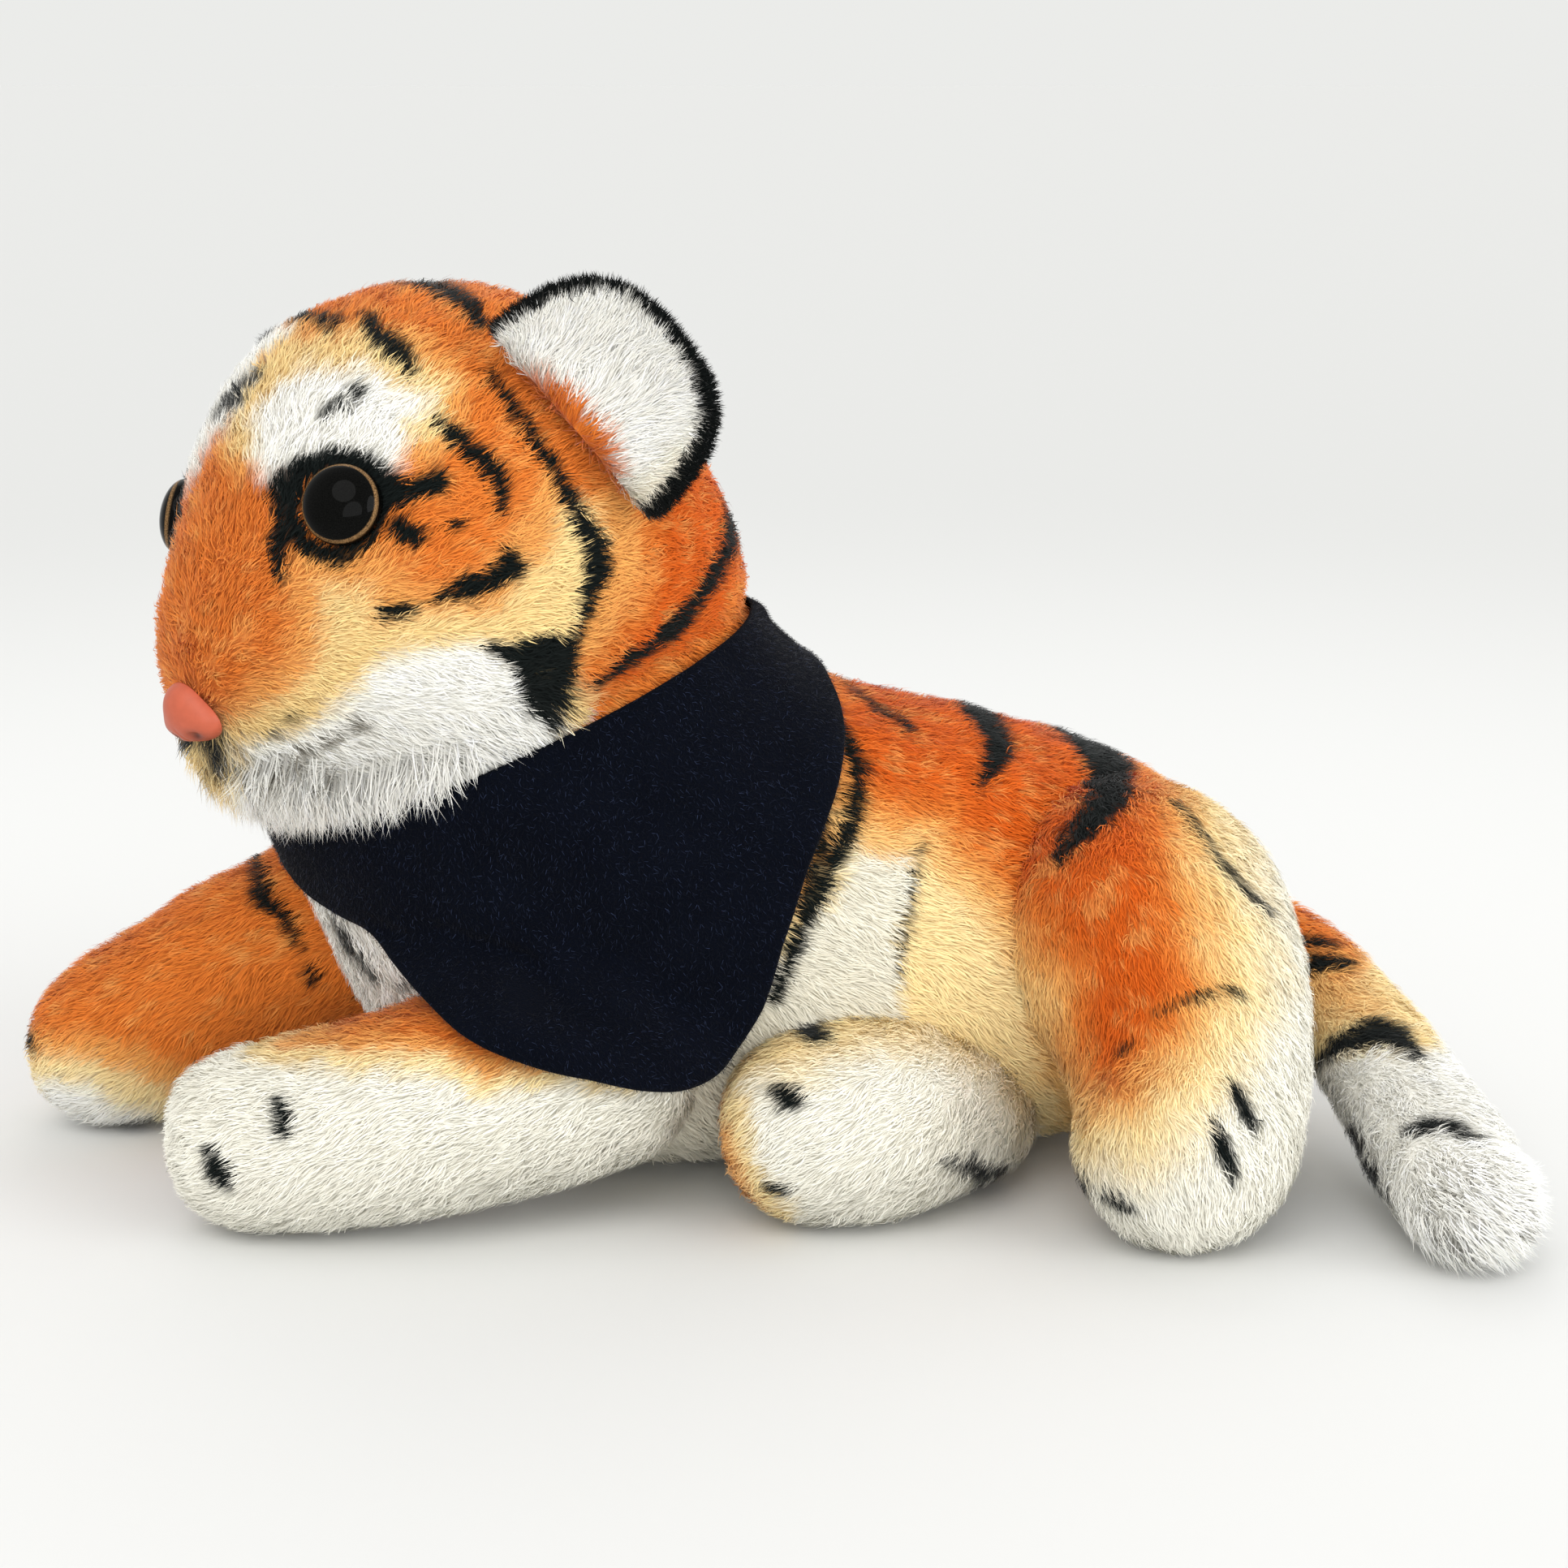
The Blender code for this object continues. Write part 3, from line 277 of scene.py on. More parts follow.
areas = {
    "torso": (
        ((250, 900, 480, 700, 925, 690, 1000, 800, 1060, 840, 1140, 860, 1130, 980, 1110, 1000,
         1060, 1005, 1030, 1040, 960, 1140, 800, 1200, 560, 1180, 440, 1120, 360, 1060),
         ((-45, belly_white), (-12, cream), (12, light_orange), (45, orange))),
        *flank[1:],
        ((230, 860, 420, 880, 560, 860, 640, 800, 690, 800, 720, 880, 640, 960, 520, 1040,
         440, 1060, 340, 1060, 250, 1000), ((-16, None), (8, white))),
        ((350, 1090, 410, 1080, 530, 1170, 560, 1260, 440, 1260, 380, 1190),
         ((-14, None), (6, white))),
    ),
    "hind_leg_left": flank,
    "hind_leg_right": (
        ((840, 1260, 900, 1235, 955, 1250, 948, 1300, 900, 1330, 905, 1380, 930, 1440, 960, 1490,
         900, 1500, 850, 1400), ((-30, warm_white), (0, cream), (26, light_orange))),
        ((930, 1225, 1150, 1225, 1320, 1290, 1330, 1420, 1290, 1420, 1240, 1320, 1150, 1280,
         1060, 1290, 960, 1320), ((-50, None), (34, cream))),
    ),
    "tail": (
        ((1540, 1080, 1640, 1110, 1700, 1180, 1750, 1280, 1700, 1276, 1640, 1290, 1600, 1300,
         1570, 1200), ((-34, white), (-4, cream), (60, tan))),
        ((1540, 1080, 1640, 1100, 1684, 1140, 1676, 1190, 1600, 1196, 1560, 1186),
         ((-24, None), (4, light_orange), (30, orange))),
    ),
    "front_leg_right": (
        ((-40, 1200, 110, 1100, 300, 1000, 600, 1000, 600, 1400, 250, 1360, 200, 1330, 120, 1300,
         60, 1290, -40, 1310), ((-62, white), (-20, cream), (10, light_orange), (40, orange))),
    ),
    "front_leg_left": (
        ((290, 1240, 402, 1230, 522, 1180, 760, 1180, 900, 1300, 720, 1312, 640, 1318, 600, 1325,
         517, 1296, 402, 1292, 330, 1285),
         ((-40, warm_white), (-14, cream), (8, light_orange), (30, orange))),
    ),
    "head": (
        ((470, 735, 560, 765, 620, 745, 680, 640, 705, 590, 770, 590, 800, 650, 770, 740, 730, 800,
         600, 810, 480, 830, 400, 800), ((-55, None), (-12, light_orange), (26, face_cream))),
        ((705, 580, 780, 580, 810, 650, 780, 740, 735, 810, 700, 800, 735, 720, 745, 660),
         ((-8, None), (10, light_orange))),
        # Towards the nape the orange deepens: partly the fur's own deep orange, partly painted
        # shade behind the head.
        ((800, 590, 800, 700, 772, 762, 732, 812, 700, 870, 900, 800, 960, 560, 860, 480),
         ((-22, None), (6, orange), (26, deep_orange))),
        ((640, 470, 700, 480, 745, 540, 770, 600, 700, 610, 660, 540),
         ((-20, None), (14, orange))),
        ((400, 720, 460, 715, 480, 800, 450, 870, 340, 900, 300, 930, 300, 900, 350, 850,
         390, 800), ((-60, None), (-14, light_orange), (22, face_cream))),
        ((430, 862, 470, 830, 519, 806, 597, 796, 650, 830, 690, 890, 670, 980, 560, 1090,
         451, 1120, 280, 1110, 240, 980, 272, 938, 330, 922, 400, 890),
         ((-70, None), (-28, face_cream), (10, white))),
        ((290, 560, 285, 500, 310, 440, 350, 415, 430, 412, 500, 430, 560, 470, 556, 520, 530, 550,
         430, 540, 340, 560), ((-34, None), (-10, light_orange), (12, face_cream))),
        ((340, 628, 322, 591, 314, 514, 340, 465, 384, 446, 451, 446, 490, 465, 540, 485, 530, 514,
         508, 528, 515, 553, 480, 590, 451, 590, 388, 575, 359, 590), ((-12, None), (20, white))),
        ((205, 920, 250, 912, 290, 930, 296, 968, 262, 962, 232, 945),
         ((-14, None), (4, face_cream))),
        ((180, 612, 190, 520, 240, 430, 300, 380, 352, 410, 330, 440, 300, 484, 278, 524, 258, 562,
         240, 590, 228, 606), ((-16, None), (8, white))),
    ),
}
ear_base = (560, 440, 607, 456, 650, 466, 689, 487, 728, 530, 752, 574, 780, 645, 740, 690,
    560, 560)
chin_edge = (226, 906, 262, 935, 276, 965)
jowl_edge = (258, 925, 276, 962, 310, 990, 380, 1010, 451, 1010, 539, 965, 610, 920, 668, 880)


def linear(colour):
    """Linear red, green and blue of a colour given as seen."""
    shares = np.array(colour, float) / 255
    return np.where(shares <= 0.04045, shares / 12.92, ((shares + 0.055) / 1.055) ** 2.4)


def smoothstep(low, high, values):
    share = np.clip((values - low) / (high - low), 0, 1)
    return share * share * (3 - 2 * share)


def unit(rows):
    return rows / np.maximum(np.linalg.norm(rows, axis=-1, keepdims=True), 1e-12)


def dot(a, b):
    return (a * b).sum(-1, keepdims=True)


# Camera and light

view_back = Vector((
    math.sin(view_azimuth) * math.cos(view_elevation),
    -math.cos(view_azimuth) * math.cos(view_elevation), math.sin(view_elevation)))
camera_spot = view_target + view_back * view_distance
camera_turn = view_back.to_track_quat("Z", "Y")


def pixels(points):
    """Where points of the cub fall in the photograph."""
    local = (points - np.array(camera_spot)) @ np.array(camera_turn.to_matrix())
    scale = focal_px / -local[:, 2]
    half = photo_side / 2
    return np.stack((half + local[:, 0] * scale, half - local[:, 1] * scale), axis=1)


def link(thing):
    bpy.context.scene.collection.objects.link(thing)
    return thing


def make_camera():
    lens = bpy.data.cameras.new("camera")
    lens.sensor_width = 36
    lens.lens = focal_px * lens.sensor_width / photo_side
    lens.clip_start, lens.clip_end = 0.05, 20
    camera = link(bpy.data.objects.new("camera", lens))
    camera.location = camera_spot
    camera.rotation_mode = "QUATERNION"
    camera.rotation_quaternion = camera_turn
    bpy.context.scene.camera = camera


def make_lamp(name, way, strength, colour):
    """Soft even light from one side."""
    light = bpy.data.lights.new(name, "SUN")
    light.angle = math.radians(40)
    light.energy = strength
    light.color = colour
    lamp = link(bpy.data.objects.new(name, light))
    lamp.rotation_mode = "QUATERNION"
    lamp.rotation_quaternion = Vector(way).to_track_quat("Z", "Y")


world_level = 0.96
# The floor paper's colour is painted lighter near the middle than far off: a painted pool of light.
floor_near = (0.738, 0.741, 0.728)
floor_far = (0.606, 0.609, 0.596)
floor_lit = 1.373             # what the lamps and the world give a level surface
floor_radius = 60
fade_start, fade_end = 0.1, 1.1


def feed(tree, node, inputs):
    """Give a shader node's inputs their values, or what drives them."""
    for socket, value in inputs.items():
        if isinstance(value, bpy.types.NodeSocket):
            tree.links.new(value, node.inputs[socket])
        else:
            node.inputs[socket].default_value = value
    return node


def add(tree, kind, inputs, output=0, **settings):
    """What a new shader node gives."""
    node = tree.nodes.new("ShaderNode" + kind)
    for name, value in settings.items():
        setattr(node, name, value)
    return feed(tree, node, inputs).outputs[output]


def material(name, inputs):
    """A new material, its tree and its shader, which takes the inputs."""
    made = bpy.data.materials.new(name)
    made.use_nodes = True
    tree = made.node_tree
    return made, tree, feed(tree, tree.nodes["Principled BSDF"], inputs)


def make_studio():
    world = bpy.data.worlds.new("studio")
    bpy.context.scene.world = world
    world.use_nodes = True
    tree = world.node_tree
    around = feed(tree, tree.nodes["Background"],
                  {"Color": (1, 1, 1, 1), "Strength": world_level}).outputs[0]
    backdrop = (*[share * floor_lit for share in floor_far], 1)
    seen = add(tree, "Background", {"Color": backdrop})
    is_seen = 0
    for ray in ("Is Camera Ray", "Is Glossy Ray", "Is Transmission Ray"):
        hit = add(tree, "LightPath", {}, ray)
        is_seen = add(tree, "Math", {0: is_seen, 1: hit}, operation="MAXIMUM")
    shown = add(tree, "MixShader", {0: is_seen, 1: around, 2: seen})
    feed(tree, tree.nodes["World Output"], {"Surface": shown})
    make_lamp("key", (-0.95, -1.7, 1.94), 0.85, (1, 0.99, 0.97))
    make_lamp("fill", (2.2, -1.9, 0.6), 1.4, (0.98, 0.99, 1))
    make_lamp("front", (-0.3, -2.7, 0.3), 0.85, (1, 1, 1))
    make_lamp("rim", (0.2, 2.0, 1.94), 0.25, (1, 1, 1))

    form = bmesh.new()
    bmesh.ops.create_circle(form, cap_ends=True, segments=128, radius=floor_radius)
    mesh = bpy.data.meshes.new("floor")
    form.to_mesh(mesh)
    form.free()
    floor = link(bpy.data.objects.new("floor", mesh))
    made, tree, shader = material("floor paper", {"Roughness": 0.9})
    # A painted pool of light: the paper fades from the near tone to the far tone away from the
    # middle.
    spot = add(tree, "NewGeometry", {}, "Position")
    far = add(tree, "VectorMath", {0: spot}, "Value", operation="LENGTH")
    fade = add(tree, "MapRange", {"Value": far, "From Min": fade_start, "From Max": fade_end},
               interpolation_type="SMOOTHERSTEP")
    tint = add(tree, "Mix", {0: fade, 6: (*floor_near, 1), 7: (*floor_far, 1)}, 2,
               data_type="RGBA")
    feed(tree, shader, {"Base Color": tint})
    mesh.materials.append(made)


# Forms

neck_centre = Vector((-0.2425 * body_long, 0, 0.955 * body_high))
neck_up = Vector((-math.sin(neck_tilt), 0, math.cos(neck_tilt)))
neck_front = Vector((-math.cos(neck_tilt), 0, -math.sin(neck_tilt)))
head_centre = neck_centre + neck_up * head_rise
head_turning = Matrix.Rotation(head_yaw, 3, "Z")
head_forward = head_turning @ Vector((-1, 0, 0))
head_level = head_turning @ Vector((0, -1, 0))
head_rolling = Matrix.Rotation(head_roll, 3, head_forward)
head_left = head_rolling @ head_level
head_up = head_rolling @ Vector((0, 0, 1))
torso_sides, limb_sides = 12, 8


def cage_swell(sides):
    return 3 / (2 + math.cos(2 * math.pi / sides))


def mesh_of(name, form):
    bmesh.ops.recalc_face_normals(form, faces=form.faces)
    mesh = bpy.data.meshes.new(name)
    form.to_mesh(mesh)
    form.free()
    mesh.shade_smooth()
    return mesh


def cage_mesh(name, rings):
    form = bmesh.new()
    loops = [[form.verts.new(point) for point in ring] for ring in rings]
    for near, far in zip(loops, loops[1:]):
        count = len(near)
        for i in range(count):
            j = (i + 1) % count
            form.faces.new((near[i], near[j], far[j], far[i]))
    form.faces.new(loops[0])
    form.faces.new(reversed(loops[-1]))
    return mesh_of(name, form)


def ball(around, rows):
    """A sphere of radius 1 whose faces come in the same order each run, as Blender's don't."""
    rough = bmesh.new()
    bmesh.ops.create_uvsphere(rough, u_segments=around, v_segments=rows, radius=1)
    rough.verts.index_update()
    rings = sorted(([vertex.index for vertex in face.verts] for face in rough.faces), key=sorted)
    form = bmesh.new()
    corners = [form.verts.new(vertex.co) for vertex in rough.verts]
    for ring in rings:
        form.faces.new([corners[i] for i in ring])
    rough.free()
    return form


def smoothed(mesh):
    thing = link(bpy.data.objects.new("smoothing", mesh))
    smooth = thing.modifiers.new("smooth", "SUBSURF")
    smooth.levels = 3
    bpy.context.view_layer.update()
    graph = bpy.context.evaluated_depsgraph_get()
    made = bpy.data.meshes.new_from_object(thing.evaluated_get(graph))
    bpy.data.objects.remove(thing)
    return made


def torso_mesh():
    swell = cage_swell(torso_sides)
    rings = []
    count = len(torso_section_shares)
    for place_no, (top_x, top_z, low_x, low_z, wide) in enumerate(torso_section_shares):
        top = Vector((top_x * body_long, 0, top_z * body_high))
        low = Vector((low_x * body_long, 0, low_z * body_high))
        middle = (top + low) / 2
        tall = (top - low) / 2
        along = tall.normalized().cross(Vector((0, 1, 0)))
        if place_no == count - 1:
            middle -= along * skin_inset
        half_high = tall.length * swell + skin_inset
        half_wide = wide * body_wide / 2 * swell + skin_inset
        ring = []
        for i in range(torso_sides):
            turn = 2 * math.pi * i / torso_sides
            offset = tall.normalized() * math.cos(turn) * half_high
            offset += Vector((0, 1, 0)) * math.sin(turn) * half_wide
            ring.append(middle + offset)
        rings.append(ring)
    return cage_mesh("torso", rings)


def head_way(shares):
    forward, left, up = shares
    return (head_forward * forward + head_left * left + head_up * up).normalized()


def head_reach(way):
    forward, left, up = way.dot(head_forward), way.dot(head_left), way.dot(head_up)
    reach = 1 / math.sqrt(
        (2 * forward / head_long) ** 2 + (2 * left / head_wide) ** 2 + (2 * up / head_high) ** 2)
    rise = 1
    for shares, bump, tight in head_bump_shares:
        rise += bump * math.exp(-tight * (1 - way.dot(head_way(shares))))
    for shares, bump, tight in neck_bump_shares:
        rise += bump * math.exp(-tight * (1 - way.dot(Vector(shares).normalized())))
    return reach * rise


def head_normal(way):
    side = way.cross(Vector((0, 0, 1))).normalized()
    rise = side.cross(way)
    step = math.radians(1)
    spots = [turned * head_reach(turned) for turned in (
        (way + side * step).normalized(), (way - side * step).normalized(),
        (way + rise * step).normalized(), (way - rise * step).normalized())]
    return (spots[2] - spots[3]).cross(spots[0] - spots[1]).normalized()


def head_spot(way):
    return head_centre + way * head_reach(way)


def head_mesh():
    form = ball(112, 72)
    for vertex in form.verts:
        way = vertex.co.normalized()
        vertex.co = head_centre + way * (head_reach(way) + skin_inset)
    return mesh_of("head", form)


class Limb:
    def __init__(self, root_shares, shares, long, wide):
        across, side = root_shares
        self.root = Vector((across * body_long, side * body_wide, shares[2][2] * wide))
        self.centres = []
        self.radii = []
        for along, aside, high, thick in shares:
            self.centres.append(
                Vector((self.root.x + along * long, self.root.y + aside * long, high * wide)))
            self.radii.append(thick * wide)

    def mesh(self, name):
        swell = cage_swell(limb_sides)
        rings = []
        last = len(self.centres) - 1
        end_shifts = {0: -1, 1: -0.5, last - 1: 0.5, last: 1}
        for i, centre in enumerate(self.centres):
            way = (self.centres[min(i + 1, last)] - self.centres[max(i - 1, 0)]).normalized()
            side = way.cross(Vector((0, 0, 1))).normalized()
            up = side.cross(way)
            middle = centre + way * skin_inset * end_shifts.get(i, 0)
            thick = max(self.radii[i] * swell + skin_inset, self.radii[i] / 10)
            rings.append([
                middle + (side * math.cos(turn) + up * math.sin(turn)) * thick
                for turn in (2 * math.pi * k / limb_sides for k in range(limb_sides))])
        return cage_mesh(name, rings)


limbs = {name: Limb(*table) for name, table in limb_tables.items()}


def ear_point(side, along, out):
    flip = Vector((1, side, 1))
    root_way = head_way(Vector(ear_root_shares) * flip)
    normal = head_normal(root_way)
    line = head_way(Vector(ear_line_shares) * flip)
    line = (line - normal * line.dot(normal)).normalized()
    reach = head_way(Vector(ear_reach_shares) * flip)
    reach = (reach - line * reach.dot(line)).normalized()
    face = line.cross(reach).normalized() * side
    stack = ear_panel * 2 + fit_gap
    lift = fit_gap + stack / 2 * math.sin(ear_swing + normal.angle(reach))
    root = head_spot(root_way) + normal * lift
    rise = reach * out + (normal - reach) * out * (1 - out)
    cup = 4 * out * (1 - out) * (1 - along * along)
    middle = root + line * along * ear_wide / 2 + rise * ear_high - face * cup * ear_cup
    return middle, face, root, line


# Painting

def line_cover(spots, points, widths, soft):
    """How much of a mark covers each spot, from 0 to 1."""
    points = np.array(points, float).reshape(-1, 2)
    wide = np.interp(np.linspace(0, 1, len(points)), np.linspace(0, 1, len(widths)), widths)
    best = np.full(len(spots), -1e9)
    for i in range(len(points) - 1):
        step = points[i + 1] - points[i]
        share = np.clip(((spots - points[i]) @ step) / max(step @ step, 1e-9), 0, 1)
        gap = np.linalg.norm(spots - (points[i] + share[:, None] * step), axis=1)
        best = np.maximum(best, (wide[i] + (wide[i + 1] - wide[i]) * share) / 2 - gap)
    return smoothstep(-soft, soft, best)


def area_depth(spots, corners):
    """How far each spot lies inside an area, in pixels, less than nothing outside it."""
    corners = np.array(corners, float).reshape(-1, 2)
    inside = np.zeros(len(spots), bool)
    gap = np.full(len(spots), 1e9)
    for start, end in zip(corners, np.roll(corners, -1, axis=0)):
        step = end - start
        share = np.clip(((spots - start) @ step) / (step @ step), 0, 1)
        gap = np.minimum(gap, np.linalg.norm(spots - (start + share[:, None] * step), axis=1))
        crosses = (start[1] > spots[:, 1]) != (end[1] > spots[:, 1])
        height = np.where(crosses, end[1] - start[1], 1)
        inside ^= crosses & (spots[:, 0] < start[0] + (spots[:, 1] - start[1]) * step[0] / height)
    return np.where(inside, gap, -gap)


waves = np.random.default_rng(5).normal(size=(24, 3))
wave_starts = np.random.default_rng(6).uniform(0, 2 * math.pi, 24)


def drift(points, size, seed=0):
    """A smooth wandering value about 0, changing over the given size."""
    pick = (np.arange(6) + seed * 6) % 24
    turned = points @ unit(waves[pick]).T * (2 * math.pi / size) * np.linspace(0.7, 1.5, 6)
    return np.sin(turned + wave_starts[pick] + seed).mean(axis=1) * 1.6


def tinted(colours, colour, cover):
    """Colours drawn towards another by a cover from 0 to 1."""
    return colours + (colour - colours) * cover[:, None]


def painted(form, spots, points):
    """The pile's colour at each spot of the photograph."""
    shift = drift(points, 16 * mm, 1) * 9 + drift(points, 5 * mm, 2) * 5
    colours = np.tile(linear(orange if form == "head" else white), (len(spots), 1))
    for corners, ramp in areas[form]:
        depth = area_depth(spots, corners) + shift
        for i, (place, colour) in enumerate(ramp):
            if colour is not None:
                cover = smoothstep(ramp[i - 1][0], place, depth) if i else np.ones(len(depth))
                colours = tinted(colours, linear(colour), cover)
    warm = smoothstep(0.7, 0.95, 1 - colours[:, 2] / colours[:, 0])
    mottle = warm * smoothstep(0.0, 1.2, drift(points, 7 * mm, 3) + drift(points, 3 * mm, 1) * 0.7)
    colours = tinted(colours, linear(light_orange), mottle * mottle_share)
    jitter = np.stack((drift(points, 2.2 * mm, 3), drift(points, 2.6 * mm, 0)), axis=1) * 3
    for line, widths in marks[form]:
        cover = line_cover(spots + jitter, line, widths, mark_soft)
        colours = tinted(colours, linear(stripe), cover)
    if form == "head":
        for line, wide in whisker_dots:
            cover = line_cover(spots + jitter, line, (wide + 2, wide + 2), dot_soft)
            colours = tinted(colours, linear(whisker), cover * dot_share)
    return colours


def torso_paint(points):
    mirrored = points.copy()
    mirrored[:, 1] = -np.abs(points[:, 1])
    return painted("torso", pixels(mirrored), points)


def head_parts(points):
    offset = points - np.array(head_centre)
    return [offset @ np.array(axis) for axis in (head_forward, head_left, head_up)]


def head_mirrored(points):
    """The far side of the head takes the near side's marks."""
    forward, left, up = head_parts(points)
    over = (left < 0) & ~((left > -18 * mm) & ((up > 10 * mm) | (up < -22 * mm)))
    placed = np.where(over, -left, left)
    axes = [np.array(axis) for axis in (head_forward, head_left, head_up)]
    return np.array(head_centre) + (
        forward[:, None] * axes[0] + placed[:, None] * axes[1] + up[:, None] * axes[2])


def head_paint(points):
    return painted("head", pixels(head_mirrored(points)), points)


def limb_paint(name):
    return lambda points: painted(name, pixels(points), points)


# Which way the pile lies

def torso_comb(points):
    return np.tile((0.9, 0.0, -0.55), (len(points), 1))


nose_way = head_way(nose_place_shares)
nose_spot = np.array(head_spot(nose_way))


def head_comb(points):
    away = unit(points - nose_spot)
    hang = line_cover(pixels(head_mirrored(points)), jowl_edge, (60, 90, 60), 30)
    return away + np.array((0, 0, -1)) * (0.25 + 0.8 * hang[:, None])


limb_hangs = {
    "front_leg_left": (1.0, (0, 0, -0.25)), "front_leg_right": (1.0, (0, 0, -0.25)),
    "hind_leg_left": (0.3, (0.3, 0, -0.9)), "hind_leg_right": (0.25, (-0.7, 0, -0.5)),
    "tail": (0.5, (0.6, 0, -0.4)),
}
pile_lifts = {"tail": (20, 5), "hind_leg_left": (22, 5), "hind_leg_right": (22, 5)}


def limb_comb(name):
    """Along the limb, with the share that hangs."""
    limb = limbs[name]
    along_share, hang = limb_hangs[name]
    centres = np.array([list(centre) for centre in limb.centres])

    def comb(points):
        nearest = np.argmin(
            np.linalg.norm(points[:, None] - centres[None, 1:-1], axis=2), axis=1) + 1
        along = unit(centres[nearest + 1] - centres[nearest - 1])
        return along * along_share + np.array(hang)
    return comb


# Skins and fur

def fine_noise(tree, size, detail=2):
    """Noise of one size that stays with the piece."""
    spot = add(tree, "TexCoord", {}, "Object")
    return add(tree, "TexNoise", {"Vector": spot, "Scale": 1 / size, "Detail": detail}, "Fac")


def varied(tree, noise, spread):
    """The mesh's own colour, made lighter and darker by noise."""
    colour = add(tree, "Attribute", {}, "Color", attribute_name="Pile")
    level = add(tree, "MapRange", {"Value": noise, **spread}, "Result")
    return add(tree, "VectorMath", {0: colour, "Scale": level}, "Vector", operation="SCALE")


def emboss(tree, shader, noise, strength, distance):
    """Relief from noise."""
    relief = {"Strength": strength, "Distance": distance, "Height": noise}
    feed(tree, shader, {"Normal": add(tree, "Bump", relief, "Normal")})


def finish(name, roughness, sheen, vary, vary_size, bump=0.0, bump_size=1.0, shine=0.2):
    """A fabric whose colour comes from the mesh, varied by fine noise."""
    made, tree, shader = material(name, {
        "Roughness": roughness, "Sheen Weight": sheen, "Sheen Roughness": 0.5,
        "Specular IOR Level": shine})
    spread = {"To Min": 1 - vary, "To Max": 1 + vary}
    feed(tree, shader, {"Base Color": varied(tree, fine_noise(tree, vary_size, 3), spread)})
    if bump:
        emboss(tree, shader, fine_noise(tree, bump_size, 4), bump, bump_size)
    return made


def set_colours(mesh, colours):
    layer = mesh.color_attributes.new("Pile", "FLOAT_COLOR", "POINT")
    full = np.ones((len(colours), 4), np.float32)
    full[:, :3] = np.clip(colours, 0, 1)
    layer.data.foreach_set("color", full.ravel())


def arrays_of(mesh):
    count = len(mesh.vertices)
    points = np.empty(count * 3, np.float32)
    normals = np.empty(count * 3, np.float32)
    mesh.vertices.foreach_get("co", points)
    mesh.vertices.foreach_get("normal", normals)
    mesh.calc_loop_triangles()
    triangles = np.empty(len(mesh.loop_triangles) * 3, np.int32)
    mesh.loop_triangles.foreach_get("vertices", triangles)
    return (points.reshape(-1, 3).astype(float), normals.reshape(-1, 3).astype(float),
            triangles.reshape(-1, 3))


def buried_depth(points, trees):
    """How deep each point lies in other forms."""
    depth = np.full(len(points), -1.0)
    for i, point in enumerate(points):
        spot = Vector(point)
        for tree in trees:
            near, normal, _, gap = tree.find_nearest(spot)
            if (spot - near).dot(normal) < 0:
                depth[i] = max(depth[i], gap)
    return depth


class Skin:
    """A stuffed form's cloth: its mesh, its paint and which way its pile lies."""

    def __init__(self, name, mesh, paint, comb):
        self.name, self.mesh, self.paint, self.comb = name, mesh, paint, comb
        points, normals, _ = arrays_of(mesh)
        lumps = drift(points, 30 * mm, 1) * 0.5 * mm + drift(points, 12 * mm, 2) * 0.25 * mm
        points = points + normals * lumps[:, None]
        points[:, 2] = np.maximum(points[:, 2], 0.6 * mm)
        mesh.vertices.foreach_set("co", points.astype(np.float32).ravel())
        mesh.update()
        self.points, self.normals, self.triangles = arrays_of(mesh)
        self.tree = BVHTree.FromPolygons(
            [Vector(p) for p in self.points], [tuple(t) for t in self.triangles])


fur_finish = finish("plush pile", 0.85, 0.12, 0.06, 2.5 * mm, shine=0.05)
skin_finish = finish("plush backing", 0.95, 0.1, 0.08, 1.5 * mm, 0.3, 0.8 * mm)


def place(name, mesh, made, body, slot_name):
    """A piece of one material that rides on a body."""
    mesh.materials.append(made)
    thing = link(bpy.data.objects.new(name, mesh))
    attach(thing, body)
    return thing


def make_skin(skin, slot_name, nodes):
    # The skin is painted darker than its pile: painted shade under the blades.
    set_colours(skin.mesh, skin.paint(skin.points) * painted_backing_shade)
    thing = place(skin.name + "_skin", skin.mesh, skin_finish, skin.name, slot_name)
    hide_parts(*nodes)


def triangle_areas(points, triangles):
    a, b, c = (points[triangles[:, k]] for k in range(3))
    return np.linalg.norm(np.cross(b - a, c - a), axis=1) / 2


def scatter(points, normals, triangles, weights, count, rng):
    """Evenly spread roots of pile and the normals there."""
    a, b, c = (points[triangles[:, k]] for k in range(3))
    total = np.cumsum(triangle_areas(points, triangles) * weights)
    order = (np.arange(count) + rng.random(count)) / count * total[-1]
    pick = np.minimum(np.searchsorted(total, order), len(total) - 1)
    u, v = rng.random(count), rng.random(count)
    fold = u + v > 1
    u, v = np.where(fold, 1 - u, u)[:, None], np.where(fold, 1 - v, v)[:, None]
    roots = a[pick] + (b - a)[pick] * u + (c - a)[pick] * v
    na, nb, nc = (normals[triangles[:, k]][pick] for k in range(3))
    return roots, unit(na + (nb - na) * u + (nc - na) * v)


def sow(points, normals, triangles, share, density, rng):
    """Roots of pile, so many to a square millimetre."""
    area = (triangle_areas(points, triangles) * share).sum()
    return scatter(points, normals, triangles, share, int(area / (mm * mm) * density), rng)


def interleave(cells):
    """Spatial order of grid cells."""
    code = np.zeros(len(cells), np.int64)
    for bit in range(10):
        for axis in range(3):
            code |= ((cells[:, axis] >> bit) & 1) << (3 * bit + axis)
    return code


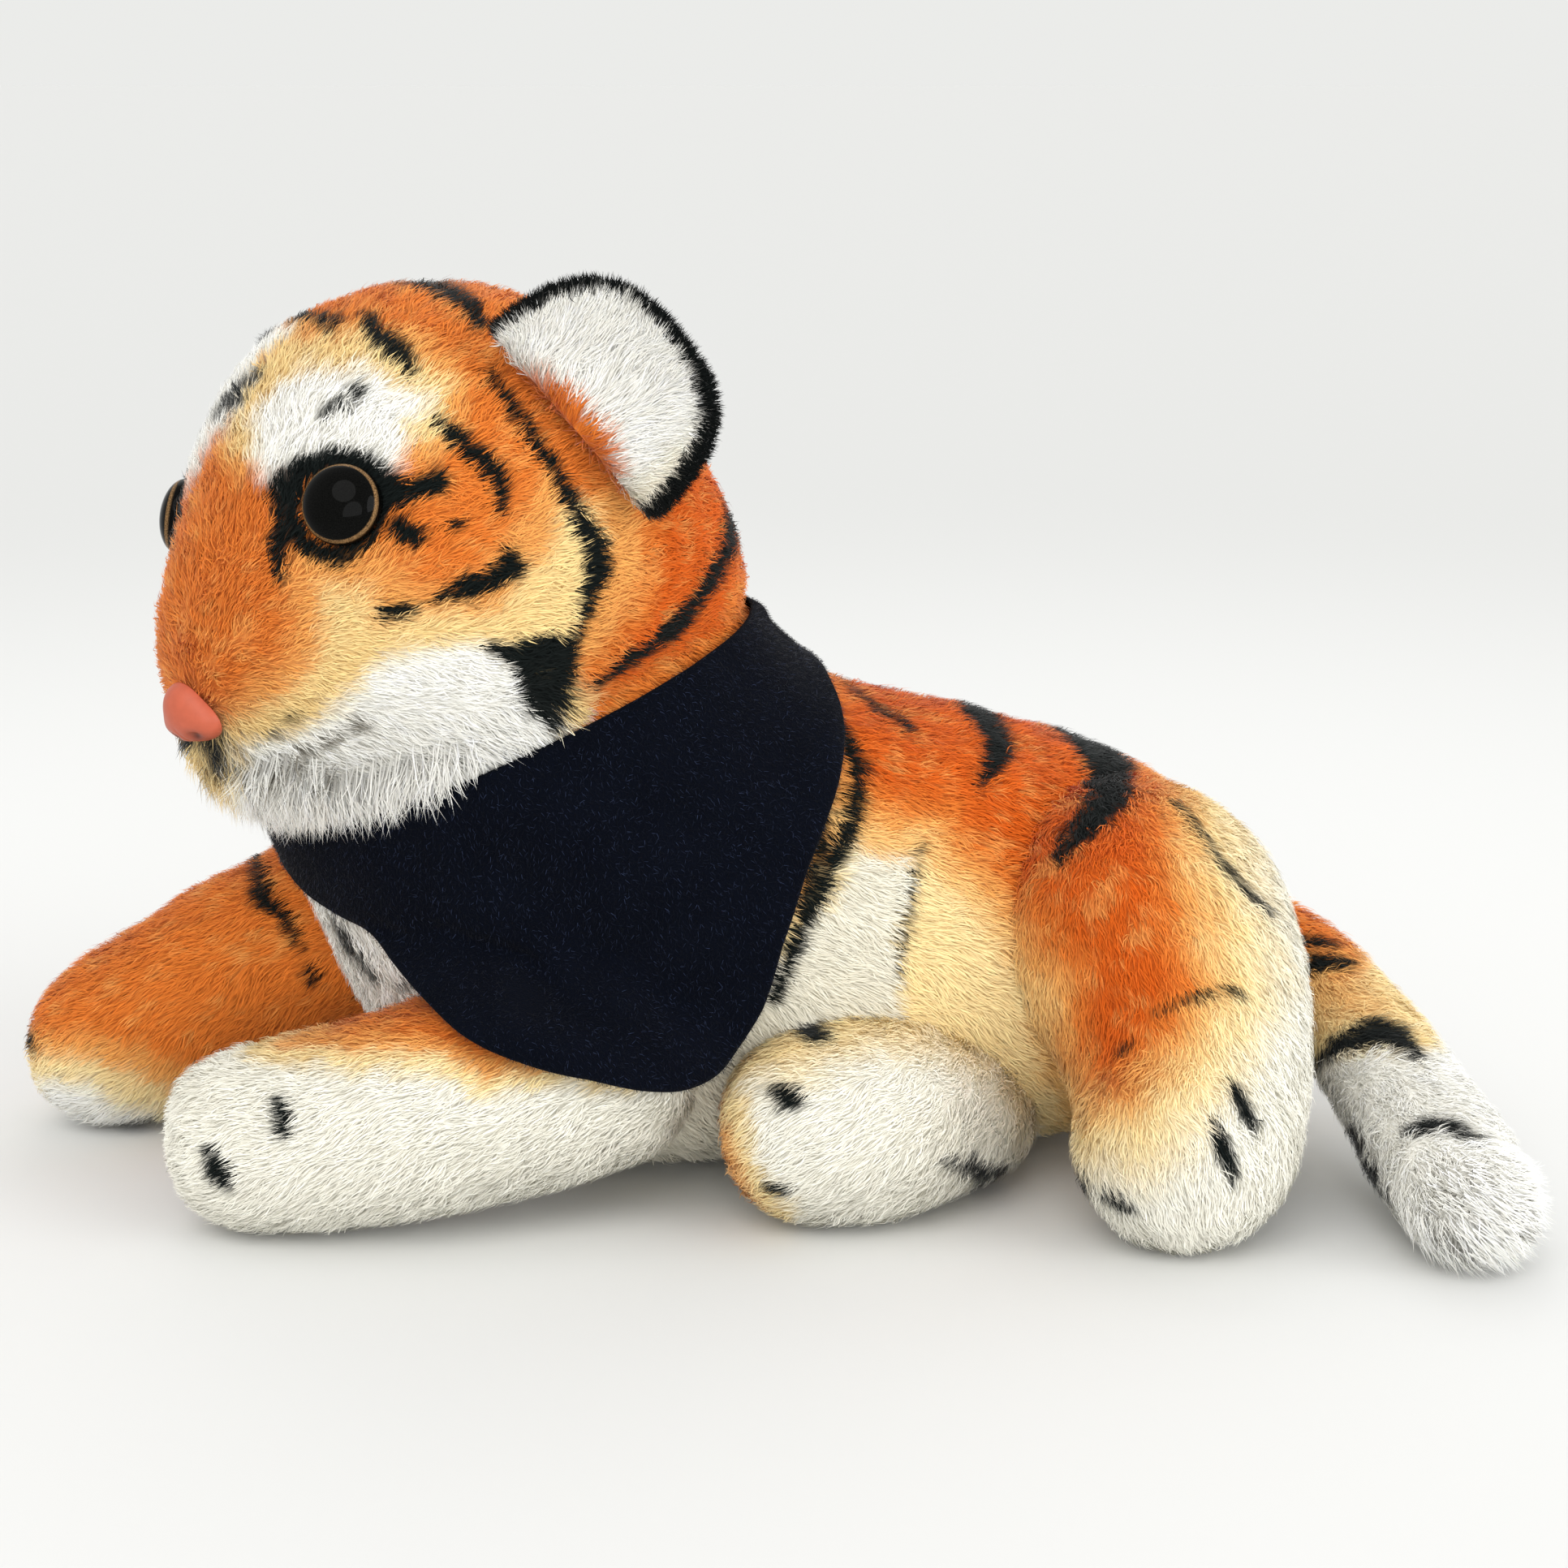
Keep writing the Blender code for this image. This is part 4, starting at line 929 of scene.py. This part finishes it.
def blades(name, body, slot_name, roots, normals, ways, colours, long, wide, rng, lift=(30, 8),
           pull=0.38, clump=3.0 * mm, stand=0.0):
    """Short bent blades of pile, each a quad and a point, that lie along the ways.

    lift is the rise of a blade's two halves and stand is added to it, in degrees. pull draws the
    tips of a clump together.
    """
    count = len(roots)
    order = np.argsort(interleave(
        np.floor((roots - roots.min(0)) / (0.8 * mm)).astype(np.int64)), kind="stable")
    roots, normals, ways, colours = roots[order], normals[order], ways[order], colours[order]
    stand = (np.broadcast_to(stand, count)[order])[:, None]
    long = (np.broadcast_to(long, count)[order])[:, None] * (0.75 + 0.5 * rng.random((count, 1)))
    swirl = np.stack([drift(roots, 9 * mm, seed) for seed in (1, 2, 3)], axis=1)
    ways = ways + swirl * 0.45
    ways = ways + rng.normal(size=(count, 3)) * 0.28
    ways = unit(ways - normals * dot(ways, normals))
    first = np.radians(lift[0] + stand + rng.normal(size=(count, 1)) * 12
                       + drift(roots, 7 * mm, 0)[:, None] * 10)
    second = np.radians(lift[1] + stand * 0.6 + rng.normal(size=(count, 1)) * 12)
    heads = ways * np.cos(first) + normals * np.sin(first)
    mids = roots + heads * long * 0.5
    tips = mids + (ways * np.cos(second) + normals * np.sin(second)) * long * 0.5
    _, cell = np.unique(np.floor(roots / clump + 0.35 * rng.random(3)).astype(np.int64),
                        axis=0, return_inverse=True)
    cell = cell.ravel()
    size = np.bincount(cell)[:, None]
    mean = np.stack([np.bincount(cell, tips[:, k]) for k in range(3)], axis=1) / size
    tips = tips + (mean[cell] - tips) * pull
    mids = mids + (mean[cell] - tips) * pull * 0.25
    sides = np.cross(ways, normals)
    twist = rng.uniform(-0.45, 0.45, (count, 1))
    sides = sides * np.cos(twist) + np.cross(heads, sides) * np.sin(twist)
    half = wide / 2 * (0.7 + 0.6 * rng.random((count, 1)))
    corners = np.stack((roots - sides * half, roots + sides * half, mids + sides * half * 0.8,
                        mids - sides * half * 0.8, tips), axis=1)
    corners[..., 2] = np.maximum(corners[..., 2], pile_floor)
    tone = 1 + rng.normal(size=(count, 1, 1)) * 0.05
    tone = tone + drift(roots, 3 * mm, 2)[:, None, None] * 0.06
    # Painted shade and light along each blade: the two root corners darker, the tip a little
    # lighter.
    shade = np.array((0.88, 0.88, 0.98, 0.98, 1.03)).reshape(1, 5, 1)
    tints = np.clip(colours[:, None] * tone * shade, 0, 0.96)
    facing = unit(normals + rng.normal(size=(count, 3)) * 0.1 - ways * 0.1)

    mesh = bpy.data.meshes.new(name)
    mesh.vertices.add(count * 5)
    mesh.vertices.foreach_set("co", corners.astype(np.float32).ravel())
    base = np.arange(count)[:, None]
    mesh.loops.add(count * 7)
    mesh.loops.foreach_set(
        "vertex_index", (base * 5 + np.array((0, 1, 2, 3, 3, 2, 4))).astype(np.int32).ravel())
    mesh.polygons.add(count * 2)
    mesh.polygons.foreach_set(
        "loop_start", (base * 7 + np.array((0, 4))).astype(np.int32).ravel())
    mesh.update(calc_edges=True)
    mesh.polygons.foreach_set("use_smooth", np.ones(count * 2, bool))
    set_colours(mesh, tints.reshape(-1, 3))
    grid = math.ceil(math.sqrt(count))
    cells = np.stack((np.arange(count) % grid, np.arange(count) // grid), axis=1)[:, None]
    shape = np.array(((0.1, 0.1), (0.9, 0.1), (0.9, 0.5), (0.1, 0.5),
                      (0.1, 0.5), (0.9, 0.5), (0.5, 0.95)))[None]
    layer = mesh.uv_layers.new(name="OFBake")
    layer.data.foreach_set("uv", ((cells + shape) / grid).astype(np.float32).ravel())
    facings = mesh.attributes.new("custom_normal", "FLOAT_VECTOR", "POINT")
    facings.data.foreach_set("vector", np.repeat(facing, 5, axis=0).astype(np.float32).ravel())
    place(name, mesh, fur_finish, body, slot_name)


def pile_long(form, points):
    """How long the pile is at each root: longer on the jowls, the chin and the tail's tip."""
    long = np.full(len(points), 4.1 * mm)
    if form == "head":
        spots = pixels(head_mirrored(points))
        long += line_cover(spots, jowl_edge, (60, 100, 70), 30) * 3.4 * mm
        long += line_cover(spots, chin_edge, (40, 50, 50), 22) * 3 * mm
    if form == "tail":
        tip = np.array(limbs["tail"].centres[-1])
        long += smoothstep(22 * mm, 4 * mm, np.linalg.norm(points - tip, axis=1)) * 5 * mm
    return long


def make_fur(name, skin, slot_name, weights, seed, part):
    """Fur over a skin, or over the part of it that a test picks."""
    rng = np.random.default_rng(seed)
    share = weights[skin.triangles].mean(axis=1)
    if part is not None:
        share = share * part(skin.points[skin.triangles].mean(axis=1))
    roots, normals = sow(skin.points, skin.normals, skin.triangles, share, pile_density, rng)
    ways = skin.comb(roots)
    reach = pile_long(skin.name, roots)
    flat = unit(ways - normals * dot(ways, normals))
    colours = skin.paint(roots + flat * reach[:, None] * 0.5)
    stand = smoothstep(4.5 * mm, 7.5 * mm, reach) * 22
    if skin.name == "tail":           # the tip ends in a brush
        before, last = (np.array(centre) for centre in limbs["tail"].centres[-2:])
        stand = stand + smoothstep(0.1, 0.9, normals @ unit(last - before)) * 42
    blades(name, skin.name, slot_name, roots, normals, ways, colours, reach, pile_wide, rng,
           pile_lifts.get(skin.name, (30, 8)), stand=stand)


def make_plush():
    skins = {"torso": Skin("torso", smoothed(torso_mesh()), torso_paint, torso_comb),
             "head": Skin("head", head_mesh(), head_paint, head_comb)}
    for name, limb in limbs.items():
        skins[name] = Skin(name, smoothed(limb.mesh(name)), limb_paint(name), limb_comb(name))
    head_side, head_middle = np.array(head_left), np.array(head_centre)
    parts = {
        "torso": {
            "_front_left": lambda p: (p[:, 1] <= 0) & (p[:, 0] <= pile_split),
            "_front_right": lambda p: (p[:, 1] > 0) & (p[:, 0] <= pile_split),
            "_rear_left": lambda p: (p[:, 1] <= 0) & (p[:, 0] > pile_split),
            "_rear_right": lambda p: (p[:, 1] > 0) & (p[:, 0] > pile_split)},
        "head": {
            "_left": lambda p: (p - head_middle) @ head_side >= 0,
            "_right": lambda p: (p - head_middle) @ head_side < 0},
    }
    for seed, (name, skin) in enumerate(skins.items()):
        slot_name = "white_plush" if name == "hind_leg_right" else "orange_plush"
        nodes = [name + "_cover", name + "_stuffing"]
        depth = buried_depth(skin.points, [skins[key].tree for key in skins if key != name])
        weights = (depth < 6 * mm).astype(float)
        above = (skin.points - np.array(neck_centre)) @ np.array(neck_up)
        if name in ("head", "torso"):     # the head's turn shows more of the neck
            weights = np.maximum(weights, (depth < 14 * mm) & (np.abs(above) < 22 * mm))
        if name == "head":
            weights *= above > -2 * mm
        if name == "torso":
            weights *= above < 3 * mm
            nodes.append("bean_pouch")
        make_skin(skin, slot_name, nodes)
        for order, (word, part) in enumerate(parts.get(name, {"": None}).items()):
            make_fur(name + "_fur" + word, skin, slot_name, weights, 10 * seed + order, part)
    make_fringe(skins["head"])


def make_fringe(skin):
    """Long white pile that hangs from the jowl over the bandana's top edge."""
    centres = skin.points[skin.triangles].mean(axis=1)
    falls = skin.normals[skin.triangles].mean(axis=1)[:, 2]
    spots = pixels(head_mirrored(centres))
    above = (centres - np.array(neck_centre)) @ np.array(neck_up)
    fore = (centres - np.array(neck_centre)) @ np.array(neck_front)
    share = ((above > 1 * mm) & (above < 20 * mm) & (fore > 10 * mm)).astype(float)
    share *= smoothstep(-0.98, -0.93, falls) * smoothstep(-0.1, -0.35, falls)
    share *= line_cover(spots, jowl_edge[:-2], (120, 130, 130, 120, 90, 30), 30)
    rng = np.random.default_rng(71)
    roots, normals = sow(skin.points, skin.normals, skin.triangles, share, pile_density, rng)
    ways = np.tile((0, 0, -1.0), (len(roots), 1))
    colours = skin.paint(roots + ways * 3 * mm)
    short = smoothstep(520, 620, pixels(head_mirrored(roots))[:, 0])
    blades("jowl_fringe", "head", "white_plush", roots, normals, ways, colours,
           (10.5 - 5.5 * short) * mm, 0.24 * mm, rng, (72, 30), 0.3)


# Eyes, nose, ears and bandana

def gloss(name, roughness, ior, speckle=(0.95, 1.05), size=0.4 * mm):
    """A moulded plastic whose colour comes from the mesh, finely speckled."""
    made, tree, shader = material(name, {"Roughness": roughness, "IOR": ior})
    spread = {"From Min": 0.3, "From Max": 0.7, "To Min": speckle[0], "To Max": speckle[1]}
    feed(tree, shader, {"Base Color": varied(tree, fine_noise(tree, size), spread)})
    return made


def off_line(offsets, line):
    """How far offsets reach square to a line."""
    return np.linalg.norm(offsets - np.outer(offsets @ line, line), axis=1)


def make_eyes():
    made = gloss("eye plastic", 0.05, 1.14, (0.1, 1.7), 0.22 * mm)
    half, around, rings = eye_wide / 2, 72, 28
    profile = []
    for ring in range(1, rings + 1):
        angle = math.pi / 2 * ring / rings
        profile.append(
            (half * math.sin(angle), eye_edge + (eye_high - eye_edge) * math.cos(angle)))
    profile += [(half, 0), (half * 0.6, 0)]
    for side, word in ((1, "left"), (-1, "right")):
        way = head_way(Vector(eye_place_shares) * Vector((1, side, 1)))
        normal = head_normal(way)
        seat = head_spot(way) - normal * (eye_sink - fit_gap)
        turn = normal.to_track_quat("Z", "Y").to_matrix()
        form = bmesh.new()
        top = form.verts.new(seat + turn @ Vector((0, 0, eye_high)))
        loops = [[
            form.verts.new(seat + turn @ Vector((
                radius * math.cos(2 * math.pi * k / around),
                radius * math.sin(2 * math.pi * k / around), high)))
            for k in range(around)] for radius, high in profile]
        for k in range(around):
            n = (k + 1) % around
            form.faces.new((top, loops[0][k], loops[0][n]))
            for near, far in zip(loops, loops[1:]):
                form.faces.new((near[k], far[k], far[n], near[n]))
        form.faces.new(reversed(loops[-1]))
        mesh = mesh_of("eye", form)
        points, _, _ = arrays_of(mesh)
        radial = off_line(points - np.array(seat), np.array(normal)) / half
        rim = smoothstep(0.905, 0.92, radial) * smoothstep(0.985, 0.965, radial)
        set_colours(mesh, tinted(np.tile(linear(pupil), (len(points), 1)), linear(iris), rim))
        thing = place("eye_dome_" + word, mesh, made, "head", "eye_plastic")
        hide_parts("eye_" + word)


def make_nose():
    normal = head_normal(nose_way)
    lifted = head_spot(nose_way) - normal * (nose_sink - fit_gap)
    across = head_left - normal * head_left.dot(normal)
    across.normalize()
    axes = Matrix((across, normal.cross(across), normal)).transposed()
    form = ball(96, 64)
    bmesh.ops.bisect_plane(
        form, geom=form.verts[:] + form.edges[:] + form.faces[:], dist=1e-5,
        plane_co=(0, 0, -0.02), plane_no=(0, 0, 1), clear_inner=True)
    rim = [edge for edge in form.edges if edge.is_boundary]
    bmesh.ops.contextual_create(form, geom=rim)
    for vertex in form.verts:
        around = math.atan2(vertex.co.y, vertex.co.x)
        lobe = 1 + math.cos(3 * around + math.pi / 2) * nose_lobe_share
        x, y, z = vertex.co
        dent = 0.0
        for side in (-1, 1):
            gap = math.hypot(x - side * 0.42, y + 0.42)
            dent += 0.22 * math.exp(-(gap / 0.17) ** 2)
        dent += 0.10 * math.exp(-(x / 0.07) ** 2) * min(max(-y, 0), 1)
        z -= dent * max(z, 0)
        vertex.co = lifted + axes @ Vector((
            x * lobe * nose_wide / 2, y * lobe * nose_high / 2, z * nose_deep))
    mesh = mesh_of("nose", form)
    points, _, _ = arrays_of(mesh)
    offset = points - np.array(lifted)
    side_at = offset @ np.array(across) / (nose_wide / 2)
    up_at = offset @ np.array(axes.col[1]) / (nose_high / 2)
    gap = np.hypot(np.abs(side_at) - 0.46, up_at + 0.5)
    # Painted shade: the nostril dents and the nose's lower part are painted darker.
    painted_nose_shade = np.exp(-(gap / 0.2) ** 2) * 0.75 + smoothstep(-0.4, -1.0, up_at) * 0.3
    set_colours(mesh, linear(nose_pink) * (1 - painted_nose_shade[:, None]))
    made = gloss("nose plastic", 0.42, 1.35, size=1.5 * mm)
    thing = place("nose_dome", mesh, made, "head", "nose_plastic")
    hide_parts("nose")


class EarPanel:
    """One of an ear's two panels: side 1 is the left ear and layer 1 its front."""

    def __init__(self, side, layer):
        self.side, self.layer, self.front = side, layer, layer > 0
        _, self.face, self.root, self.line = (np.array(v) for v in ear_point(side, 0, 0))

    def mesh(self):
        rays, steps, thick = 72, 22, 1.1 * mm
        form = bmesh.new()
        fronts, backs = [], []
        for ray in range(rays + 1):
            turn = math.pi * ray / rays
            fronts.append([])
            backs.append([])
            for step in range(steps + 1):
                share = step / steps
                along = math.copysign(abs(math.cos(turn)) ** ear_square, -math.cos(turn)) * share
                out = max(math.sin(turn), 0) ** ear_square * share
                middle, face, _, _ = ear_point(self.side, along * 0.95, out * 0.92)
                out_way = face * self.layer
                fronts[-1].append(form.verts.new(middle + out_way * (fit_gap / 2 + thick)))
                backs[-1].append(form.verts.new(middle + out_way * fit_gap / 2))
        for front, front_on, back, back_on in zip(fronts, fronts[1:], backs, backs[1:]):
            for j in range(steps):
                form.faces.new((front[j], front[j + 1], front_on[j + 1], front_on[j]))
                form.faces.new((back[j], back_on[j], back_on[j + 1], back[j + 1]))
            form.faces.new((front[steps], back[steps], back_on[steps], front_on[steps]))
        bmesh.ops.remove_doubles(form, verts=form.verts, dist=0.02 * mm)
        bmesh.ops.holes_fill(form, edges=[edge for edge in form.edges if edge.is_boundary])
        return mesh_of("ear", form)

    def places(self, spots):
        """How far along and how far out spots lie, as shares of the ear."""
        offset = spots - self.root
        return offset @ self.line / (ear_wide / 2), off_line(offset, self.line) / ear_high

    def rim_share(self, spots):
        along, out = self.places(spots)
        power = 2 / ear_square
        return (np.abs(along) ** power + out ** power) ** (ear_square / 2)

    def paint(self, spots):
        along = self.places(spots)[0]
        rim = self.rim_share(spots) + drift(spots, 5 * mm, 2) * 0.02
        colours = np.tile(linear(white if self.front else orange), (len(spots), 1))
        start = 0.70
        if self.front:
            colours = tinted(colours, linear(cream), smoothstep(0.5, 0.9, along) * 0.35)
            depth = area_depth(pixels(head_mirrored(spots)), ear_base)
            base = smoothstep(-4, 6, depth + drift(spots, 3 * mm, 1) * 4)
            colours = tinted(colours, linear(orange), base)
            start = 0.85 - 0.05 * smoothstep(-0.3, 0.6, along)
        edge = smoothstep(start, start + 0.05, rim + drift(spots, 1.5 * mm, 3) * 0.02)
        return tinted(colours, linear(stripe) * 0.5, edge)


def make_ears():
    for side, word in ((1, "left"), (-1, "right")):
        for layer, end in ((1, "front"), (-1, "back")):
            make_ear_panel(EarPanel(side, layer), "ear_" + word, f"ear_{word}_{end}")


def make_ear_panel(panel, body, node):
    mesh = panel.mesh()
    points, normals, triangles = arrays_of(mesh)
    # The ear skins are painted darker than their pile, the back panels most: painted shade under
    # the blades.
    set_colours(mesh, panel.paint(points) * (0.85 if panel.front else 0.6))
    slot_name = "white_plush" if panel.front else "orange_plush"
    thing = place(node + "_skin", mesh, skin_finish, body, slot_name)
    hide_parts(node)

    outward = (normals @ panel.face * panel.layer > 0.2).astype(float)
    if not panel.front:
        outward = np.maximum(outward, (panel.rim_share(points) > 0.9).astype(float))
    rng = np.random.default_rng(100 + panel.side * 3 + panel.layer)
    roots, facing = sow(
        points, normals, triangles, outward[triangles].mean(axis=1), ear_density, rng)
    reach = np.array(ear_point(panel.side, 0, 1)[0]) - panel.root
    rim = panel.rim_share(roots)
    ways = unit(reach) + panel.line * panel.places(roots)[0][:, None] * 0.7
    ways = np.where(rim[:, None] > 0.8, unit(roots - panel.root), ways)
    inside = 1 - smoothstep(0.5, 0.84, rim)
    long = (3.4 + (3.4 if panel.front else 0.6) * inside) * mm
    blades(node + "_fur", body, slot_name, roots, facing, ways, panel.paint(roots), long,
           0.21 * mm, rng, (18, 2) if panel.front else (40, 18), 0.2, 2.2 * mm)


def catmull(points, place_at):
    last = len(points) - 1
    i = 0
    while i < last - 1 and points[i + 1][0] < place_at:
        i += 1
    before = points[max(i - 1, 0)][1]
    start, end = points[i][1], points[i + 1][1]
    after = points[min(i + 2, last)][1]
    t = (place_at - points[i][0]) / (points[i + 1][0] - points[i][0])
    return 0.5 * (
        2 * start + (end - before) * t + (2 * before - 5 * start + 4 * end - after) * t ** 2
        + (3 * start - before - 3 * end + after) * t ** 3)


def neck_way(degrees):
    turn = math.radians(degrees)
    return neck_front * math.cos(turn) + Vector((0, -1, 0)) * math.sin(turn)


def felt_reaches():
    """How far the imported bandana's outer face reaches from the neck's line, at its own points."""
    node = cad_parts["bandana"]
    co = np.empty(len(node.data.vertices) * 3, np.float32)
    node.data.vertices.foreach_get("co", co)
    offset = co.reshape(-1, 3).astype(float) - np.array(neck_centre)
    drop = -(offset @ np.array(neck_up))
    fore, left = offset @ np.array(neck_front), -offset[:, 1]
    turn = np.degrees(np.arctan2(left, fore))
    reach = np.hypot(fore, left)
    first, last = hem_shares[0][0], hem_shares[-1][0]
    found = np.zeros((felt_columns + 1, felt_rows + 1))
    for column in range(felt_columns + 1):
        degrees = first + (last - first) * column / felt_columns
        low = catmull(hem_shares, degrees) * tip_drop
        apart = np.abs((turn - degrees + 180) % 360 - 180)
        for row in range(felt_rows + 1):
            at = fit_gap + (low - fit_gap) * row / felt_rows
            gap = apart + np.abs(drop - at) * 2e3
            near = gap < gap.min() + 0.05
            found[column, row] = reach[near].max()
    return found


def resample(table, count, axis):
    """A table read more finely by smooth cubic steps."""
    table = np.moveaxis(table, axis, 0)
    last = len(table) - 1
    at = np.linspace(0, last, count)
    i = np.minimum(at.astype(int), last - 1)
    t = (at - i).reshape(-1, *([1] * (table.ndim - 1)))
    p0, p1 = table[np.maximum(i - 1, 0)], table[i]
    p2, p3 = table[i + 1], table[np.minimum(i + 2, last)]
    made = 0.5 * (2 * p1 + (p2 - p0) * t + (2 * p0 - 5 * p1 + 4 * p2 - p3) * t ** 2
                  + (3 * p1 - p0 - 3 * p2 + p3) * t ** 3)
    return np.moveaxis(made, 0, axis)


def make_bandana():
    columns, rows = felt_columns * 6, felt_rows * 8
    reach = resample(resample(felt_reaches(), columns + 1, 0), rows + 1, 1)
    first, last = hem_shares[0][0], hem_shares[-1][0]
    form = bmesh.new()
    inner, outer = [], []
    for column in range(columns + 1):
        degrees = first + (last - first) * column / columns
        low = catmull(hem_shares, degrees) * tip_drop
        near, far = [], []
        for row in range(rows + 1):
            share = row / rows
            drop = fit_gap + (low - fit_gap) * share
            spot = neck_centre - neck_up * drop
            way = neck_way(degrees)
            hem = min(share, 1 - share) * (low - fit_gap)
            ends = min(column, columns - column) * 0.8 * mm
            edge = min(hem, ends)
            thin = 0.35 * mm * max(0.0, 1 - edge / (0.9 * mm))
            fold = 0.0
            if low > 20 * mm:
                # Two soft dents where the cloth slackens over the shoulder
                fold -= 1.1 * mm * math.exp(-((degrees - 62 - share * 30) / 7) ** 2) * (
                    math.exp(-((share - 0.42) / 0.16) ** 2))
                fold += 0.7 * mm * math.exp(-((degrees - 78 - share * 24) / 8) ** 2) * (
                    math.exp(-((share - 0.40) / 0.2) ** 2))
            far_at = reach[column, row] + fold
            near.append(form.verts.new(spot + way * (far_at - felt_thick + thin)))
            far.append(form.verts.new(spot + way * (far_at - thin)))
        inner.append(near)
        outer.append(far)
    for i in range(columns):
        for j in range(rows):
            form.faces.new((inner[i][j], inner[i + 1][j], inner[i + 1][j + 1], inner[i][j + 1]))
            form.faces.new((outer[i][j], outer[i][j + 1], outer[i + 1][j + 1], outer[i + 1][j]))
        form.faces.new((inner[i][0], outer[i][0], outer[i + 1][0], inner[i + 1][0]))
        form.faces.new((inner[i][rows], inner[i + 1][rows], outer[i + 1][rows], outer[i][rows]))
    for j in range(rows):
        form.faces.new((inner[0][j], inner[0][j + 1], outer[0][j + 1], outer[0][j]))
        a, b = inner[columns], outer[columns]
        form.faces.new((a[j], b[j], b[j + 1], a[j + 1]))
    mesh = mesh_of("bandana_cloth", form)
    points, _, _ = arrays_of(mesh)
    tone = 1 + drift(points, 14 * mm, 1)[:, None] * 0.12
    set_colours(mesh, linear(felt_navy) * tone)
    made = finish("navy felt", 0.95, 0.02, 0.35, 0.5 * mm, 0.9, 0.35 * mm, 0.03)
    thing = place("bandana_cloth", mesh, made, "torso", "navy_felt")
    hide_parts("bandana")
    measure = bmesh.new()
    measure.from_mesh(mesh)
    area = sum(face.calc_area() for face in measure.faces) / 2
    measure.free()
    make_nap(mesh)


def make_nap(mesh):
    """The felt's short nap and its stray fibres."""
    points, normals, triangles = arrays_of(mesh)
    a, b, c = (points[triangles[:, k]] for k in range(3))
    centres = (a + b + c) / 3
    outward = dot(normals[triangles].mean(axis=1), unit(centres - np.array(neck_centre)))[:, 0]
    share = (outward > -0.2).astype(float)
    rng = np.random.default_rng(77)
    roots, facing = scatter(points, normals, triangles, share, nap_count, rng)
    ways = np.array((0.35, 0.0, -0.9)) + rng.normal(size=(nap_count, 3)) * 0.6
    light = rng.random((nap_count, 1)) ** 6
    tone = 0.8 + 0.5 * rng.random((nap_count, 1))
    colours = linear(felt_navy) * tone + linear(felt_fibre) * light
    blades("bandana_nap", "torso", "navy_felt", roots, facing, ways, colours, 1.1 * mm,
           0.10 * mm, rng, (38, 16), 0.0)


def plain(name, colour, roughness, size):
    """A material of one colour with fine noise and relief."""
    made, tree, shader = material(name, {"Roughness": roughness})
    noise = fine_noise(tree, size)
    low, high = linear(colour) * 0.85, np.clip(linear(colour) * 1.15, 0, 1)
    tint = add(tree, "Mix", {0: noise, 6: (*low, 1), 7: (*high, 1)}, 2, data_type="RGBA")
    feed(tree, shader, {"Base Color": tint})
    emboss(tree, shader, noise, 0.4, size / 4)
    return made


def dress_nodes():
    """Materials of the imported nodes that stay."""
    washer = plain("washer plastic", (205, 205, 205), 0.45, 2 * mm)
    strip = plain("closure strip", (28, 30, 40), 0.9, 0.4 * mm)
    for name, made in (
            ("eye_washer_left", washer), ("eye_washer_right", washer), ("nose_washer", washer),
            ("hook_strip", strip), ("loop_strip", strip)):
        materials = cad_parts[name].data.materials
        materials.clear()
        materials.append(made)


make_camera()
make_studio()
make_plush()
make_eyes()
make_nose()
make_ears()
make_bandana()
dress_nodes()

bpy.context.scene.view_settings.view_transform = "Standard"
